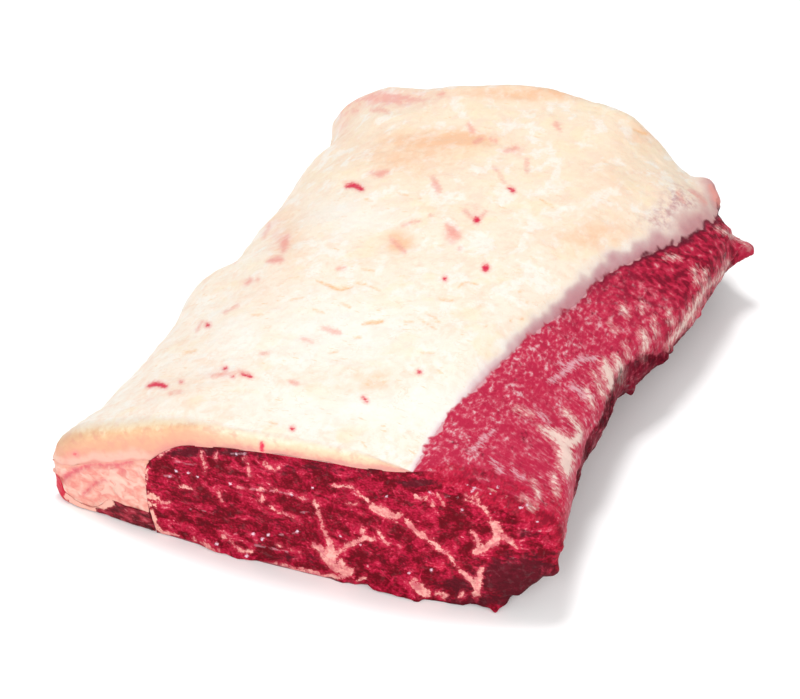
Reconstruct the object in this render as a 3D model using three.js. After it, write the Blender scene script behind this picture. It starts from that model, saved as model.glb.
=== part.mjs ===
// A portion of dry-aged beef striploin, boneless, lying fat side up, as a three.js scene graph.
// Millimetres. +X runs across the loin from the thin tail to the thick chine side, +Y runs along the grain from the
// cut face shown in front to the far cut, and +Z is up. The origin is at the middle of the footprint, on the table.
//
// The loin is four layers that run its whole length: the eye muscle, the fat cap on top of it, the wedge of tail fat
// beside it and the thin tail lean under that wedge. One cross-section, drawn at the front cut, is warped
// along the length by the outline of the loin seen from above.
import * as THREE from "three";

// ---------------------------------------------------------------- driving dimensions

const PEAK = 79; // height of the eye muscle at its thickest
const GAP = 0.5; // air left between two layers
const STATIONS = 40; // steps along the length
const ROLL_STEPS = 4; // the last of them, round the rolled far edge

// The cross-section's own x at its three anchors: outer tail, wall between tail and eye, chine side.
const TAIL_X = -137;
const WALL_X = -82.5;
const CHINE_X = 120.5;

// The two cuts seen from above, as [x, y]. Both bulge outwards in the middle of the face.
const FRONT_CUT = [[TAIL_X, -146], [-128, -151], [-104, -153.5], [-75, -156], [-30, -157.4], [0, -157],
  [51, -154.5], [90, -148.5], [CHINE_X, -142.5]];
const FAR_CUT = [[TAIL_X, 156], [-106, 157], [-92, 155], [-77, 152], [-66, 149.5], [-50, 148], [-33, 150],
  [-16, 155], [0, 157.4], [25, 157], [45, 153.5], [60, 150], [82, 142], [93, 137.5], [107, 135], [CHINE_X, 131]];

// The loin seen from above, as [y, x].
const TAIL_EDGE = [[-147, TAIL_X], [-142, -132], [-126, -126], [-100, -123], [-70, -118.5], [-46, -117.3],
  [-22, -120], [-9, -119], [3, -111.5], [20, -108.3], [56, -107], [98, -107], [118, -103.5], [134, -109],
  [150, -115]];
const CHINE_EDGE = [[-150, 121.7], [-118, 115.4], [-97, 111], [-75, 108], [-48, 108.5], [-20, 107.5], [-8, 108],
  [3, 113], [15, 117], [37, 121.7], [60, 125], [80, 126], [105, 126.5], [122, 121], [135, 114]];
const WALL_EDGE = [[-150, WALL_X], [-97, -76], [-18, -74], [30, -70], [150, -72]];
const CAP_EDGE = [[-153, 52.6], [-121, 53.1], [-103, 56], [-67, 62.9], [-27, 71.5], [-4, 78.5], [27, 86.5],
  [54, 98.4], [78, 109.5], [103, 116], [114, 115.5], [125, 112], [135, 106], [150, 101]];

// The top of the eye muscle in the cross-section, as [x, z].
const EYE_TOP = [[-79.5, 49], [-67.5, 58.5], [-57.5, 63.7], [-47.5, 67.2], [-17.5, 73], [2.5, 75.5],
  [22.5, 77.3], [42.5, 78.7], [52.5, PEAK], [62.5, 78], [82.5, 72], [102.5, 63], [114.5, 57]];
const EYE_LEFT_WALL = [[-78, 0], [-81, 14], [WALL_X, 29]];
const EYE_RIGHT_WALL = [[119, 53], [CHINE_X, 46], [CHINE_X, 34], [116.5, 24.5]];
const EYE_FOOT = [-76, 90.5]; // where the flat underside starts and ends
const BARE_COLUMNS = 7; // columns over the bare lean, from the trimmed edge to the chine side

// The seam under the fat cap over the tail, and the outside of the cap, as [x, z].
const TAIL_SEAM = [[TAIL_X, 21.5], [-131, 24.5], [-122.5, 26.6], [-108, 32.7], [-96.5, 39.4], [-87.8, 46],
  [-80.7, 50.4]];
const TAIL_OUTSIDE = [[TAIL_X, 23.5], [-136.2, 31], [-130, 39.5], [-121, 46.5], [-109, 53], [-96, 59.2],
  [-82, 65.6]];
const CAP_TOP = [[-82, 65.6], [-70, 70.5], [-57, 74.6], [-47, 76.9], [-17, 81], [3, 82.8], [23, 83.8],
  [43, 84.3], [53, 84.3], [63, 83.2], [83, 77.3], [103, 68.4], [CHINE_X, 58]];
const CAP_START = -78; // first column of the cap over the eye
const CAP_RIM = 1.8; // thickness left at the trimmed edge
const CAP_BEVEL = [[-150, 34], [-60, 16], [150, 13]]; // width of the trimmed slope, as [y, width]
const CAP_COLUMNS = 22;
const CAP_SPREAD = 0.8; // below 1, columns crowd towards the trimmed edge
const SEAM_POINTS = 9; // over the tail

// The tail lean: a bead at the outer end, a skin under the fat, a strip beside the eye.
const TAIL_LEAN_TOP = [[-136, 14.5], [-131, 12.5], [-127, 5.5], [-115, 2.2], [-109, 5], [-103, 11.5],
  [-93, 10.9], [-81.4, 11.4]];
const TAIL_LEAN_FOOT = [[-136.4, 13.5], [-135.5, 5.5], [-131, 0.8], [-124, 0], [-112, 0], [-104, 0],
  [-94, 0], [-78.8, 0]];

// Unevenness of the whole loin.
const SWELL = 1.3; // height of the broad waves in the top
const SWELL_X = 74; // their lengths across and along
const SWELL_Y = 96;
const FAR_ROLL = 10; // radius of the rolled far edge
const CORNER_DROP = 8; // the far chine corner sags by this
const CORNER_X = [40, 100];
const CORNER_Y = [80, 140];

// A tongue of lean that sticks out at the far chine corner.
const TONGUE = { reach: 14.5, y: 113, halfLength: 16, z: 31, halfHeight: 16 };

// ---------------------------------------------------------------- helpers

const lerp = THREE.MathUtils.lerp;

// A smooth curve through pairs of [t, value], flat beyond both ends.
function through(points, t) {
  const last = points.length - 1;
  if (t <= points[0][0]) return points[0][1];
  if (t >= points[last][0]) return points[last][1];
  let i = 0;
  while (t > points[i + 1][0]) i += 1;
  const slope = (k) => {
    const a = points[Math.max(k - 1, 0)];
    const b = points[Math.min(k + 1, last)];
    return (b[1] - a[1]) / (b[0] - a[0]);
  };
  const step = points[i + 1][0] - points[i][0];
  const u = (t - points[i][0]) / step;
  const v = 1 - u;
  return points[i][1] * v * v * (1 + 2 * u) + points[i + 1][1] * u * u * (1 + 2 * v)
    + step * u * v * (slope(i) * v - slope(i + 1) * u);
}

// From 0 at the first limit to 1 at the second.
function ease(limits, t) {
  return THREE.MathUtils.smoothstep(t, limits[0], limits[1]);
}

// A bump of height 1, gone at a distance of 1.
function bump(t) {
  return Math.abs(t) < 1 ? (1 - t * t) ** 2 : 0;
}

function frontCut(x) {
  return through(FRONT_CUT, x);
}

function farCut(x) {
  return through(FAR_CUT, x);
}

// x of the cross-section to x of the loin at y, and back.
function warp(x, y) {
  const wall = through(WALL_EDGE, y);
  if (x < WALL_X) {
    return lerp(through(TAIL_EDGE, y), wall, (x - TAIL_X) / (WALL_X - TAIL_X));
  }
  return lerp(wall, through(CHINE_EDGE, y), (x - WALL_X) / (CHINE_X - WALL_X));
}

function unwarp(x, y) {
  const wall = through(WALL_EDGE, y);
  return lerp(WALL_X, CHINE_X, (x - wall) / (through(CHINE_EDGE, y) - wall));
}

// How far the top stands above the plain cross-section.
function lift(x, y, farY) {
  const past = Math.max(0, y - (farY - FAR_ROLL));
  const rolled = FAR_ROLL - Math.sqrt(Math.max(0, FAR_ROLL ** 2 - past ** 2));
  const waves = SWELL * Math.sin(x / SWELL_X + 0.6) * Math.cos((y * 2) / SWELL_Y + x / SWELL_X);
  return waves - rolled - CORNER_DROP * ease(CORNER_X, x) * ease(CORNER_Y, y);
}

// A point of the cross-section, carried to its place at share s of the length.
function place([x, z], s) {
  const farY = farCut(x);
  const y = lerp(frontCut(x), farY, s);
  const across = warp(x, y);
  return new THREE.Vector3(across, y, z * (1 + lift(across, y, farY) / PEAK));
}

// Shares of the length, even up to the rolled edge and then round it.
function stations() {
  const straight = STATIONS - ROLL_STEPS;
  const rollShare = FAR_ROLL / (farCut(0) - frontCut(0));
  const shares = [];
  for (let k = 0; k <= straight; k += 1) shares.push(((1 - rollShare) * k) / straight);
  for (let k = 1; k <= ROLL_STEPS; k += 1) {
    shares.push(1 - rollShare * (1 - Math.sin((Math.PI / 2) * (k / ROLL_STEPS))));
  }
  return shares;
}

// A closed solid between an upper and a lower line that have as many points each, at every station.
function layer(section, shares) {
  const rings = shares.map((s) => {
    const { upper, lower } = section(s);
    return [...upper, ...lower.slice().reverse()].map((p) => place(p, s));
  });
  const around = rings[0].length;
  const columns = around / 2;
  const corners = rings.flat();
  const index = [];
  const quad = (a, b, c, d) => index.push(a, b, c, a, c, d);
  for (let k = 0; k < rings.length - 1; k += 1) {
    for (let i = 0; i < around; i += 1) {
      const near = [k * around + i, k * around + ((i + 1) % around)];
      const next = near.map((n) => n + around);
      // The diagonal runs the same way above and below, so that stacked layers share their facets.
      if (i < columns) quad(near[0], near[1], next[1], next[0]);
      else quad(near[1], next[1], next[0], near[0]);
    }
  }
  const far = (rings.length - 1) * around;
  for (let i = 0; i < columns - 1; i += 1) {
    const j = around - 1 - i;
    quad(i, j, j - 1, i + 1);
    quad(far + i, far + i + 1, far + j - 1, far + j);
  }
  const geometry = new THREE.BufferGeometry();
  geometry.setAttribute("position", new THREE.Float32BufferAttribute(corners.flatMap((p) => p.toArray()), 3));
  geometry.setIndex(index);
  geometry.computeVertexNormals();
  return geometry;
}

// Points spread evenly along a line of points.
function spread(line, count) {
  const path = new THREE.Path(line.map(([x, z]) => new THREE.Vector2(x, z)));
  return path.getSpacedPoints(count - 1).map((p) => [p.x, p.y]);
}

// ---------------------------------------------------------------- the four layers

function eyeTop(x) {
  return through(EYE_TOP, x);
}

// The tongue belongs to the chine wall, so it moves only the points out there.
function withTongue([x, z], s) {
  const y = lerp(frontCut(x), farCut(x), s);
  const { reach, halfLength, halfHeight } = TONGUE;
  const out = reach * bump((y - TONGUE.y) / halfLength) * bump((z - TONGUE.z) / halfHeight);
  return [x + out * ease([90, 118], x), z];
}

// The cross-section's x of the trimmed edge of the cap, at share s of the length.
function trimmedEdge(s) {
  let edge = CHINE_X;
  for (let pass = 0; pass < 3; pass += 1) {
    const y = lerp(frontCut(edge), farCut(edge), s);
    edge = unwarp(through(CAP_EDGE, y), y);
  }
  return edge;
}

// The x of the columns under the cap. Eye and cap share them.
function capColumns(s) {
  const edge = trimmedEdge(s);
  const columns = [];
  for (let i = 0; i < CAP_COLUMNS; i += 1) {
    columns.push(lerp(CAP_START, edge, (i / (CAP_COLUMNS - 1)) ** CAP_SPREAD));
  }
  return columns;
}

function eyeSection(s) {
  const columns = [EYE_TOP[0][0], ...capColumns(s)];
  const edge = columns.at(-1);
  for (let i = 1; i <= BARE_COLUMNS; i += 1) {
    columns.push(lerp(edge, EYE_TOP.at(-1)[0], i / BARE_COLUMNS));
  }
  const top = columns.map((x) => [x, eyeTop(x)]);
  const upper = [...EYE_LEFT_WALL, ...top, ...EYE_RIGHT_WALL].map((p) => withTongue(p, s));
  const lower = upper.map((p, i) => [lerp(EYE_FOOT[0], EYE_FOOT[1], i / (upper.length - 1)), 0]);
  return { upper, lower };
}

// Thickness of the fat cap over the eye, thinned towards the edge that was trimmed.
function capThickness(x, edge, y) {
  const inside = Math.min(1, (edge - x) / through(CAP_BEVEL, y));
  const full = through(CAP_TOP, x) - eyeTop(x) - GAP;
  return CAP_RIM + (full - CAP_RIM) * Math.sin((Math.PI / 2) * inside);
}

function capSection(s) {
  const lower = spread(TAIL_SEAM, SEAM_POINTS);
  const upper = spread(TAIL_OUTSIDE, SEAM_POINTS);
  const columns = capColumns(s);
  const edge = columns.at(-1);
  const y = lerp(frontCut(edge), farCut(edge), s);
  for (const x of columns) {
    const base = eyeTop(x) + GAP;
    lower.push([x, base]);
    upper.push([x, base + capThickness(x, edge, y)]);
  }
  return { upper, lower };
}

function tailFatSection() {
  const upper = spread(TAIL_SEAM, SEAM_POINTS).map(([x, z]) => [x, z - GAP]);
  const floor = TAIL_LEAN_TOP.map(([x, z]) => [x, z + GAP]);
  const wall = [WALL_X - GAP, EYE_LEFT_WALL.at(-1)[1]];
  return { upper, lower: [...floor, wall] };
}

function tailLeanSection() {
  return { upper: TAIL_LEAN_TOP, lower: TAIL_LEAN_FOOT };
}

// ---------------------------------------------------------------- colours and assembly

function flesh(color, roughness) {
  return new THREE.MeshStandardMaterial({ color, roughness, metalness: 0 });
}

const lean = flesh(0x9c2038, 0.42);
const darkLean = flesh(0x6e1424, 0.45);
const creamFat = flesh(0xfbe6cc, 0.5);
const pinkFat = flesh(0xf2bca8, 0.5);

const LAYERS = {
  loin_eye: { section: eyeSection, material: lean },
  fat_cap: { section: capSection, material: creamFat },
  tail_fat: { section: tailFatSection, material: pinkFat },
  tail_lean: { section: tailLeanSection, material: darkLean },
};

const striploin = new THREE.Group();
for (const [name, { section, material }] of Object.entries(LAYERS)) {
  const mesh = new THREE.Mesh(layer(section, stations()), material);
  mesh.name = name;
  striploin.add(mesh);
}

export default striploin;
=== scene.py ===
import math

import bpy
import numpy as np
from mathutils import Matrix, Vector, kdtree
from mathutils.geometry import delaunay_2d_cdt


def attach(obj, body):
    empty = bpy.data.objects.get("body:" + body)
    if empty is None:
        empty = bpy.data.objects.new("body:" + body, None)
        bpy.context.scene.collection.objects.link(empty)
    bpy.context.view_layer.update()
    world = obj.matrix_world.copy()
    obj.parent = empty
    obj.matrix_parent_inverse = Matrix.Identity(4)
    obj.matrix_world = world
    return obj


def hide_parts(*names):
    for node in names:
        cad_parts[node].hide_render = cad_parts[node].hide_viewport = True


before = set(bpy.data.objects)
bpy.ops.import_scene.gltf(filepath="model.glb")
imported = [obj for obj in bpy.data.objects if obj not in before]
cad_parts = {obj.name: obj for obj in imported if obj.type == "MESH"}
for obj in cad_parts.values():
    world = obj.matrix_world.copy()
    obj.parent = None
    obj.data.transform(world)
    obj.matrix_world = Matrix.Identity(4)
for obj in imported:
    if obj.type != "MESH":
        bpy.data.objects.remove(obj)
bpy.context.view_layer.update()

# A portion of dry-aged striploin, fat side up. Lengths are millimetres until a mesh is written.
# +X runs from the thin tail to the thick chine side, +Y along the grain away from the front cut, +Z up.
MM = 0.001

# ---------------------------------------------------------------- the loin's own sizes, as in the CAD model

PEAK = 79.0
TAIL_X = -137.0
WALL_X = -82.5
CHINE_X = 120.5
FRONT_CUT = [(TAIL_X, -146), (-128, -151), (-104, -153.5), (-75, -156), (-30, -157.4), (0, -157),
             (51, -154.5), (90, -148.5), (CHINE_X, -142.5)]
FAR_CUT = [(TAIL_X, 156), (-106, 157), (-92, 155), (-77, 152), (-66, 149.5), (-50, 148), (-33, 150),
           (-16, 155), (0, 157.4), (25, 157), (45, 153.5), (60, 150), (82, 142), (93, 137.5), (107, 135),
           (CHINE_X, 131)]
TAIL_EDGE = [(-147, TAIL_X), (-142, -132), (-126, -126), (-100, -123), (-70, -118.5), (-46, -117.3),
             (-22, -120), (-9, -119), (3, -111.5), (20, -108.3), (56, -107), (98, -106), (118, -101.5),
             (134, -104.5), (150, -110)]
CHINE_EDGE = [(-150, 121.7), (-118, 115.4), (-97, 111), (-75, 108), (-48, 108.5), (-20, 107.5), (-8, 108),
              (3, 113), (15, 117), (37, 121.7), (60, 125), (80, 126), (105, 126.5), (122, 121), (135, 114)]
WALL_EDGE = [(-150, WALL_X), (-97, -76), (-18, -74), (30, -70), (150, -72)]
CAP_EDGE = [(-153, 52.6), (-121, 53.1), (-103, 56), (-67, 62.9), (-27, 71.5), (-4, 78.5), (27, 86.5),
            (54, 98.4), (78, 109.5), (103, 116), (114, 115.5), (125, 112), (135, 106), (150, 101)]
EYE_TOP = [(-79.5, 45), (-73, 51.8), (-68, 56.2), (-62.5, 60), (-52.5, 63.4), (-42, 66), (-21.5, 70.3),
           (-5.5, 72.4), (12, 74.2), (26.5, 75.4), (40, 77), (52.5, PEAK), (62.5, 78), (82.5, 72), (102.5, 63),
           (114.5, 57)]
EYE_LEFT_WALL = [(-79.5, 45), (-81.7, 39.5), (WALL_X, 29), (-81.2, 14), (-78, 0)]
EYE_RIGHT_WALL = [(114.5, 57), (119, 52), (120.9, 45), (120.4, 34), (116, 24.5), (107, 14.5), (98, 6),
                  (90.5, 0)]
TAIL_SEAM = [(TAIL_X, 20.5), (-131, 22.5), (-122.5, 25.5), (-108, 33), (-96.5, 38), (-87.8, 41.6),
             (-80.2, 44.6)]
TAIL_OUTSIDE = [(TAIL_X, 23.5), (-136.2, 31), (-130, 39.5), (-121, 46.5), (-109, 53), (-96, 59.2),
                (-82, 65.6)]
CAP_TOP = [(-82, 65.6), (-70, 70.5), (-57, 74.6), (-47, 76.9), (-17, 81), (3, 82.8), (23, 83.8),
           (43, 84.3), (53, 84.3), (63, 83.2), (83, 77.3), (103, 68.4), (CHINE_X, 58)]
CAP_BEVEL = [(-150, 34), (-60, 16), (150, 13)]
TAIL_LEAN_TOP = [(-136, 14.5), (-131, 12.5), (-127, 5.5), (-115, 2.2), (-109, 5), (-103, 11.5),
                 (-93, 10.9), (-81.4, 11.4)]
TAIL_LEAN_FOOT = [(-78.8, 0), (-94, 0), (-112, 0), (-124, 0), (-131, 0.8), (-135.5, 5.5), (-136.4, 13.5)]
SWELL = 1.3
SWELL_X = 74.0
SWELL_Y = 96.0
FAR_ROLL = 10.0
CORNER_DROP = 8.0
CORNER_X = (40, 100)
CORNER_Y = (80, 140)
TONGUE_REACH = 14.0
TONGUE_Y = 113.0
TONGUE_Z = 31.0
TONGUE_SIZE = 15.0

# ---------------------------------------------------------------- the photograph's view

PHOTO_WIDTH = 800.0
PHOTO_HEIGHT = 699.0
FOCAL_PIXELS = 3450.0
AZIMUTH = math.radians(21)
ELEVATION = math.radians(39)
DISTANCE = 1700.0
TARGET = np.array([-3.9, -24.6, 35.0])
BACK = np.array([math.sin(AZIMUTH) * math.cos(ELEVATION), -math.cos(AZIMUTH) * math.cos(ELEVATION),
                 math.sin(ELEVATION)])
RIGHT = np.array([math.cos(AZIMUTH), math.sin(AZIMUTH), 0.0])
UP = np.cross(BACK, RIGHT)
EYE_POINT = TARGET + BACK * DISTANCE
PIXEL = DISTANCE / FOCAL_PIXELS  # millimetres across the view for one pixel of the photograph


# ---------------------------------------------------------------- small numeric helpers

def through(points, t):
    """A smooth curve through (t, value) pairs, flat beyond both ends."""
    p = np.asarray(points, float)
    x, y = p[:, 0], p[:, 1]
    slope = np.empty(len(p))
    slope[1:-1] = (y[2:] - y[:-2]) / (x[2:] - x[:-2])
    slope[0] = (y[1] - y[0]) / (x[1] - x[0])
    slope[-1] = (y[-1] - y[-2]) / (x[-1] - x[-2])
    t = np.clip(t, x[0], x[-1])
    i = np.clip(np.searchsorted(x, t, side="right") - 1, 0, len(x) - 2)
    step = x[i + 1] - x[i]
    u = (t - x[i]) / step
    v = 1 - u
    return (y[i] * v * v * (1 + 2 * u) + y[i + 1] * u * u * (1 + 2 * v)
            + step * u * v * (slope[i] * v - slope[i + 1] * u))


def ease(low, high, t):
    u = np.clip((t - low) / (high - low), 0, 1)
    return u * u * (3 - 2 * u)


def bump(t):
    return np.where(np.abs(t) < 1, (1 - np.minimum(t * t, 1)) ** 2, 0)


def lerp(a, b, t):
    return a + (b - a) * t


def flow(points, spacing=0.3):
    """A Catmull-Rom line through points, sampled evenly."""
    p = np.asarray(points, float)
    p = np.vstack([2 * p[0] - p[1], p, 2 * p[-1] - p[-2]])
    out = []
    for a, b, c, d in zip(p[:-3], p[1:-2], p[2:-1], p[3:]):
        t = np.linspace(0, 1, 40, endpoint=False)[:, None]
        out.append(0.5 * (2 * b + (c - a) * t + (2 * a - 5 * b + 4 * c - d) * t ** 2
                          + (3 * b - a - 3 * c + d) * t ** 3))
    out.append(p[-2][None])
    return evenly(np.vstack(out), spacing=spacing)


def lengths(line):
    return np.concatenate([[0], np.cumsum(np.linalg.norm(np.diff(line, axis=0), axis=1))])


def evenly(line, spacing=None, count=None, start=0.0, end=None):
    """A polyline resampled at even steps between two distances along it."""
    along = lengths(line)
    end = along[-1] if end is None else end
    count = count or max(3, int(round((end - start) / spacing)) + 1)
    t = np.linspace(start, end, count)
    return np.stack([np.interp(t, along, line[:, k]) for k in range(line.shape[1])], 1)


def lattice(ix, iy, iz, seed):
    h = (ix * 73856093) ^ (iy * 19349663) ^ (iz * 83492791) ^ (seed * 2654435761)
    h = (h ^ (h >> 13)) * 1274126177
    return ((h ^ (h >> 16)) & 0xFFFFFF) / float(0xFFFFFF) * 2 - 1


def noise(points, size, seed=1):
    """Smooth noise between -1 and 1 whose bumps are about size across. size may be one number or three."""
    q = points / np.asarray(size, float)
    base = np.floor(q).astype(np.int64)
    f = q - base
    f = f * f * f * (f * (f * 6 - 15) + 10)
    total = 0
    for dx in (0, 1):
        for dy in (0, 1):
            for dz in (0, 1):
                weight = np.ones(len(q))
                for axis, d in enumerate((dx, dy, dz)):
                    weight = weight * (f[:, axis] if d else 1 - f[:, axis])
                total = total + weight * lattice(base[:, 0] + dx, base[:, 1] + dy, base[:, 2] + dz, seed)
    return total


def rough(points, size, seed=1, octaves=3):
    """Layered noise: each layer has half the size and half the height of the one before."""
    size = np.asarray(size, float)
    return sum(noise(points, size / 2 ** k, seed + 7 * k) / 2 ** k for k in range(octaves))


# ---------------------------------------------------------------- the form of the loin

def front_cut(x):
    return through(FRONT_CUT, x)


def far_cut(x):
    return through(FAR_CUT, x)


def warp(x, y):
    """x of the cross-section to x of the loin at y."""
    wall = through(WALL_EDGE, y)
    tail = lerp(through(TAIL_EDGE, y), wall, (x - TAIL_X) / (WALL_X - TAIL_X))
    eye = lerp(wall, through(CHINE_EDGE, y), (x - WALL_X) / (CHINE_X - WALL_X))
    return np.where(x < WALL_X, tail, eye)


def unwarp(x, y):
    wall = through(WALL_EDGE, y)
    return lerp(WALL_X, CHINE_X, (x - wall) / (through(CHINE_EDGE, y) - wall))


def lift(x, y, far_y):
    past = np.maximum(0, y - (far_y - FAR_ROLL))
    rolled = FAR_ROLL - np.sqrt(np.maximum(0, FAR_ROLL ** 2 - past ** 2))
    waves = SWELL * np.sin(x / SWELL_X + 0.6) * np.cos(y * 2 / SWELL_Y + x / SWELL_X)
    return waves - rolled - CORNER_DROP * ease(*CORNER_X, x) * ease(*CORNER_Y, y)


def with_tongue(x, z, y):
    """A tongue of lean at the far chine corner."""
    out = TONGUE_REACH * bump((y - TONGUE_Y) / TONGUE_SIZE) * bump((z - TONGUE_Z) / TONGUE_SIZE)
    return x + out * ease(90, 118, x)


def place(x, z, y):
    """A point of the cross-section, carried to its place at y."""
    far_y = far_cut(x)
    across = warp(with_tongue(x, z, y), y)
    return np.stack([across, y, z * (1 + lift(across, y, far_y) / PEAK)], -1)


def trimmed_edge(s):
    """The cross-section's x of the trimmed edge of the cap, at share s of the length."""
    edge = CHINE_X
    for _ in range(4):
        y = lerp(front_cut(edge), far_cut(edge), s)
        edge = unwarp(through(CAP_EDGE, y), y)
    return float(edge), float(y)


def eye_top(x):
    return through(EYE_TOP, x)


# Each section gives, at share s of the length, a closed line of rows: x, z, front edge radius, far edge radius and
# the x and z of the way inwards. It runs anticlockwise seen from the front: left to right underneath is last.

def inward(line, window=1):
    """Unit steps to the right of a line, which is inwards for one that runs clockwise, averaged over a window."""
    step = np.gradient(line, axis=0)
    step /= np.maximum(np.linalg.norm(step, axis=1, keepdims=True), 1e-9)
    way = np.stack([step[:, 1], -step[:, 0]], 1)
    if window > 1:
        padded = np.vstack([np.repeat(way[:1], window, 0), way, np.repeat(way[-1:], window, 0)])
        smooth = [np.convolve(c, np.ones(window) / window, "same") for c in padded.T]
        way = np.stack(smooth, 1)[window:-window]
    return way


def rows(line, front, far, way=None):
    way = inward(line) if way is None else way
    n = len(line)
    return np.column_stack([line, np.broadcast_to(front, n), np.broadcast_to(far, n), way])


EYE_TOP_LINE = np.stack([np.linspace(EYE_TOP[0][0], EYE_TOP[-1][0], 700),
                         eye_top(np.linspace(EYE_TOP[0][0], EYE_TOP[-1][0], 700))], 1)
EYE_RIGHT_LINE = flow(EYE_RIGHT_WALL)
EYE_OUTER = evenly(np.vstack([EYE_TOP_LINE[:-1], EYE_RIGHT_LINE]), spacing=0.3)
EYE_ALONG = lengths(EYE_OUTER)
EYE_WAY = inward(EYE_OUTER, 60)
TOP_END = int(np.argmax(EYE_OUTER[:, 0] > EYE_TOP[-1][0])) + 1
EYE_LEFT_LINE = evenly(flow(EYE_LEFT_WALL[::-1]), count=26)
EYE_UNDER = evenly(np.array([EYE_RIGHT_WALL[-1], EYE_LEFT_WALL[-1]], float), count=56)
HIDDEN_COLUMNS = 36
BARE_COLUMNS = 150


def eye_section(s):
    edge, _ = trimmed_edge(s)
    split = np.interp(min(edge - 5, EYE_TOP[-1][0]), EYE_OUTER[:TOP_END, 0], EYE_ALONG[:TOP_END])
    stops = np.concatenate([np.linspace(0, split, HIDDEN_COLUMNS)[:-1],
                            np.linspace(split, EYE_ALONG[-1], BARE_COLUMNS)])
    x, z, ix, iz = [np.interp(stops, EYE_ALONG, c) for c in (*EYE_OUTER.T, *EYE_WAY.T)]
    past = stops - split
    front = lerp(0.1, lerp(3.2, 8.0, ease(60, 78, x)), ease(2, 16, past)) * ease(-4, 26, z)
    far = lerp(0.1, 3.0, ease(2, 16, past)) * ease(-6, 20, z)
    outer = rows(np.stack([x, z], 1), front, far, np.stack([ix, iz], 1))
    left = rows(EYE_LEFT_LINE, 0.15, 0.3)
    under = rows(EYE_UNDER, 1.0, 1.0)
    return np.vstack([left[:-1], outer[:-1], under[:-1]])


CAP_TAIL_COLUMNS = 50
CAP_OVER_COLUMNS = 185
CAP_UNDER_COLUMNS = 45
SINK = 0.5  # the cap sits this deep in the eye, so that no gap shows
SEAM_LINE = flow(TAIL_SEAM)
OUTSIDE_LINE = flow(TAIL_OUTSIDE)


def cap_section(s):
    edge, y = trimmed_edge(s)
    edge += 0.8
    over = np.linspace(-82, edge, 400)
    inside = np.minimum(1, (edge - over) / through(CAP_BEVEL, y))
    base = eye_top(over) - SINK
    full = through(CAP_TOP, over) - base
    height = full * np.sin(math.pi / 2 * inside) ** 0.9
    outside = evenly(OUTSIDE_LINE, count=CAP_TAIL_COLUMNS)
    crown = evenly(np.stack([over, base + height], 1), count=CAP_OVER_COLUMNS)
    upper = np.vstack([outside[:-1], crown])
    seam = np.vstack([SEAM_LINE, np.stack([over[over > -79], base[over > -79]], 1)])
    lower = evenly(seam, count=CAP_UNDER_COLUMNS)
    partner = evenly(seam, count=len(upper))
    way = partner - upper
    thick = np.linalg.norm(way, axis=1)
    way /= np.maximum(thick[:, None], 1e-9)
    soft = lerp(9.0, 3.0, ease(-95, -20, upper[:, 0])) * lerp(1, 0.5, ease(10, 60, upper[:, 0]))
    front = np.minimum(soft, 0.55 * thick)
    top = rows(upper, front, np.minimum(3.0, 0.45 * thick), way)
    bottom = rows(lower[::-1], 0.1, 0.1)
    return np.vstack([top, bottom[1:-1]])


def fat_section(s):
    floor = flow([(x, z + 0.2) for x, z in TAIL_LEAN_TOP])
    wall = flow([TAIL_LEAN_TOP[-1], (WALL_X - 0.1, 29), (-81.8, 39.5), (-79.6, 44.4)])
    under = np.vstack([floor, wall[1:]])
    upper = evenly(SEAM_LINE + [0, 0.4], count=60)
    lower = evenly(under, count=90)[::-1]
    side = evenly(np.array([lower[-1], [TAIL_X - 0.3, 18.0], upper[0]]), count=9)
    return np.vstack([rows(upper, 0.1, 0.1), rows(lower[1:], 0.3, 0.3), rows(side[1:-1], 1.6, 1.2)])


TAIL_LEAN_LINE = flow(TAIL_LEAN_TOP)
TAIL_FOOT_LINE = flow(TAIL_LEAN_FOOT)


def tail_lean_section(s):
    upper = evenly(TAIL_LEAN_LINE, count=80)
    lower = evenly(np.vstack([upper[-1], TAIL_FOOT_LINE, upper[0]]), count=80)
    return np.vstack([rows(upper, 0.5, 0.8), rows(lower[1:-1], 1.0, 1.0)])


# ---------------------------------------------------------------- from sections to closed meshes

ROUND_STEPS = 5
STATIONS = 190


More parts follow.
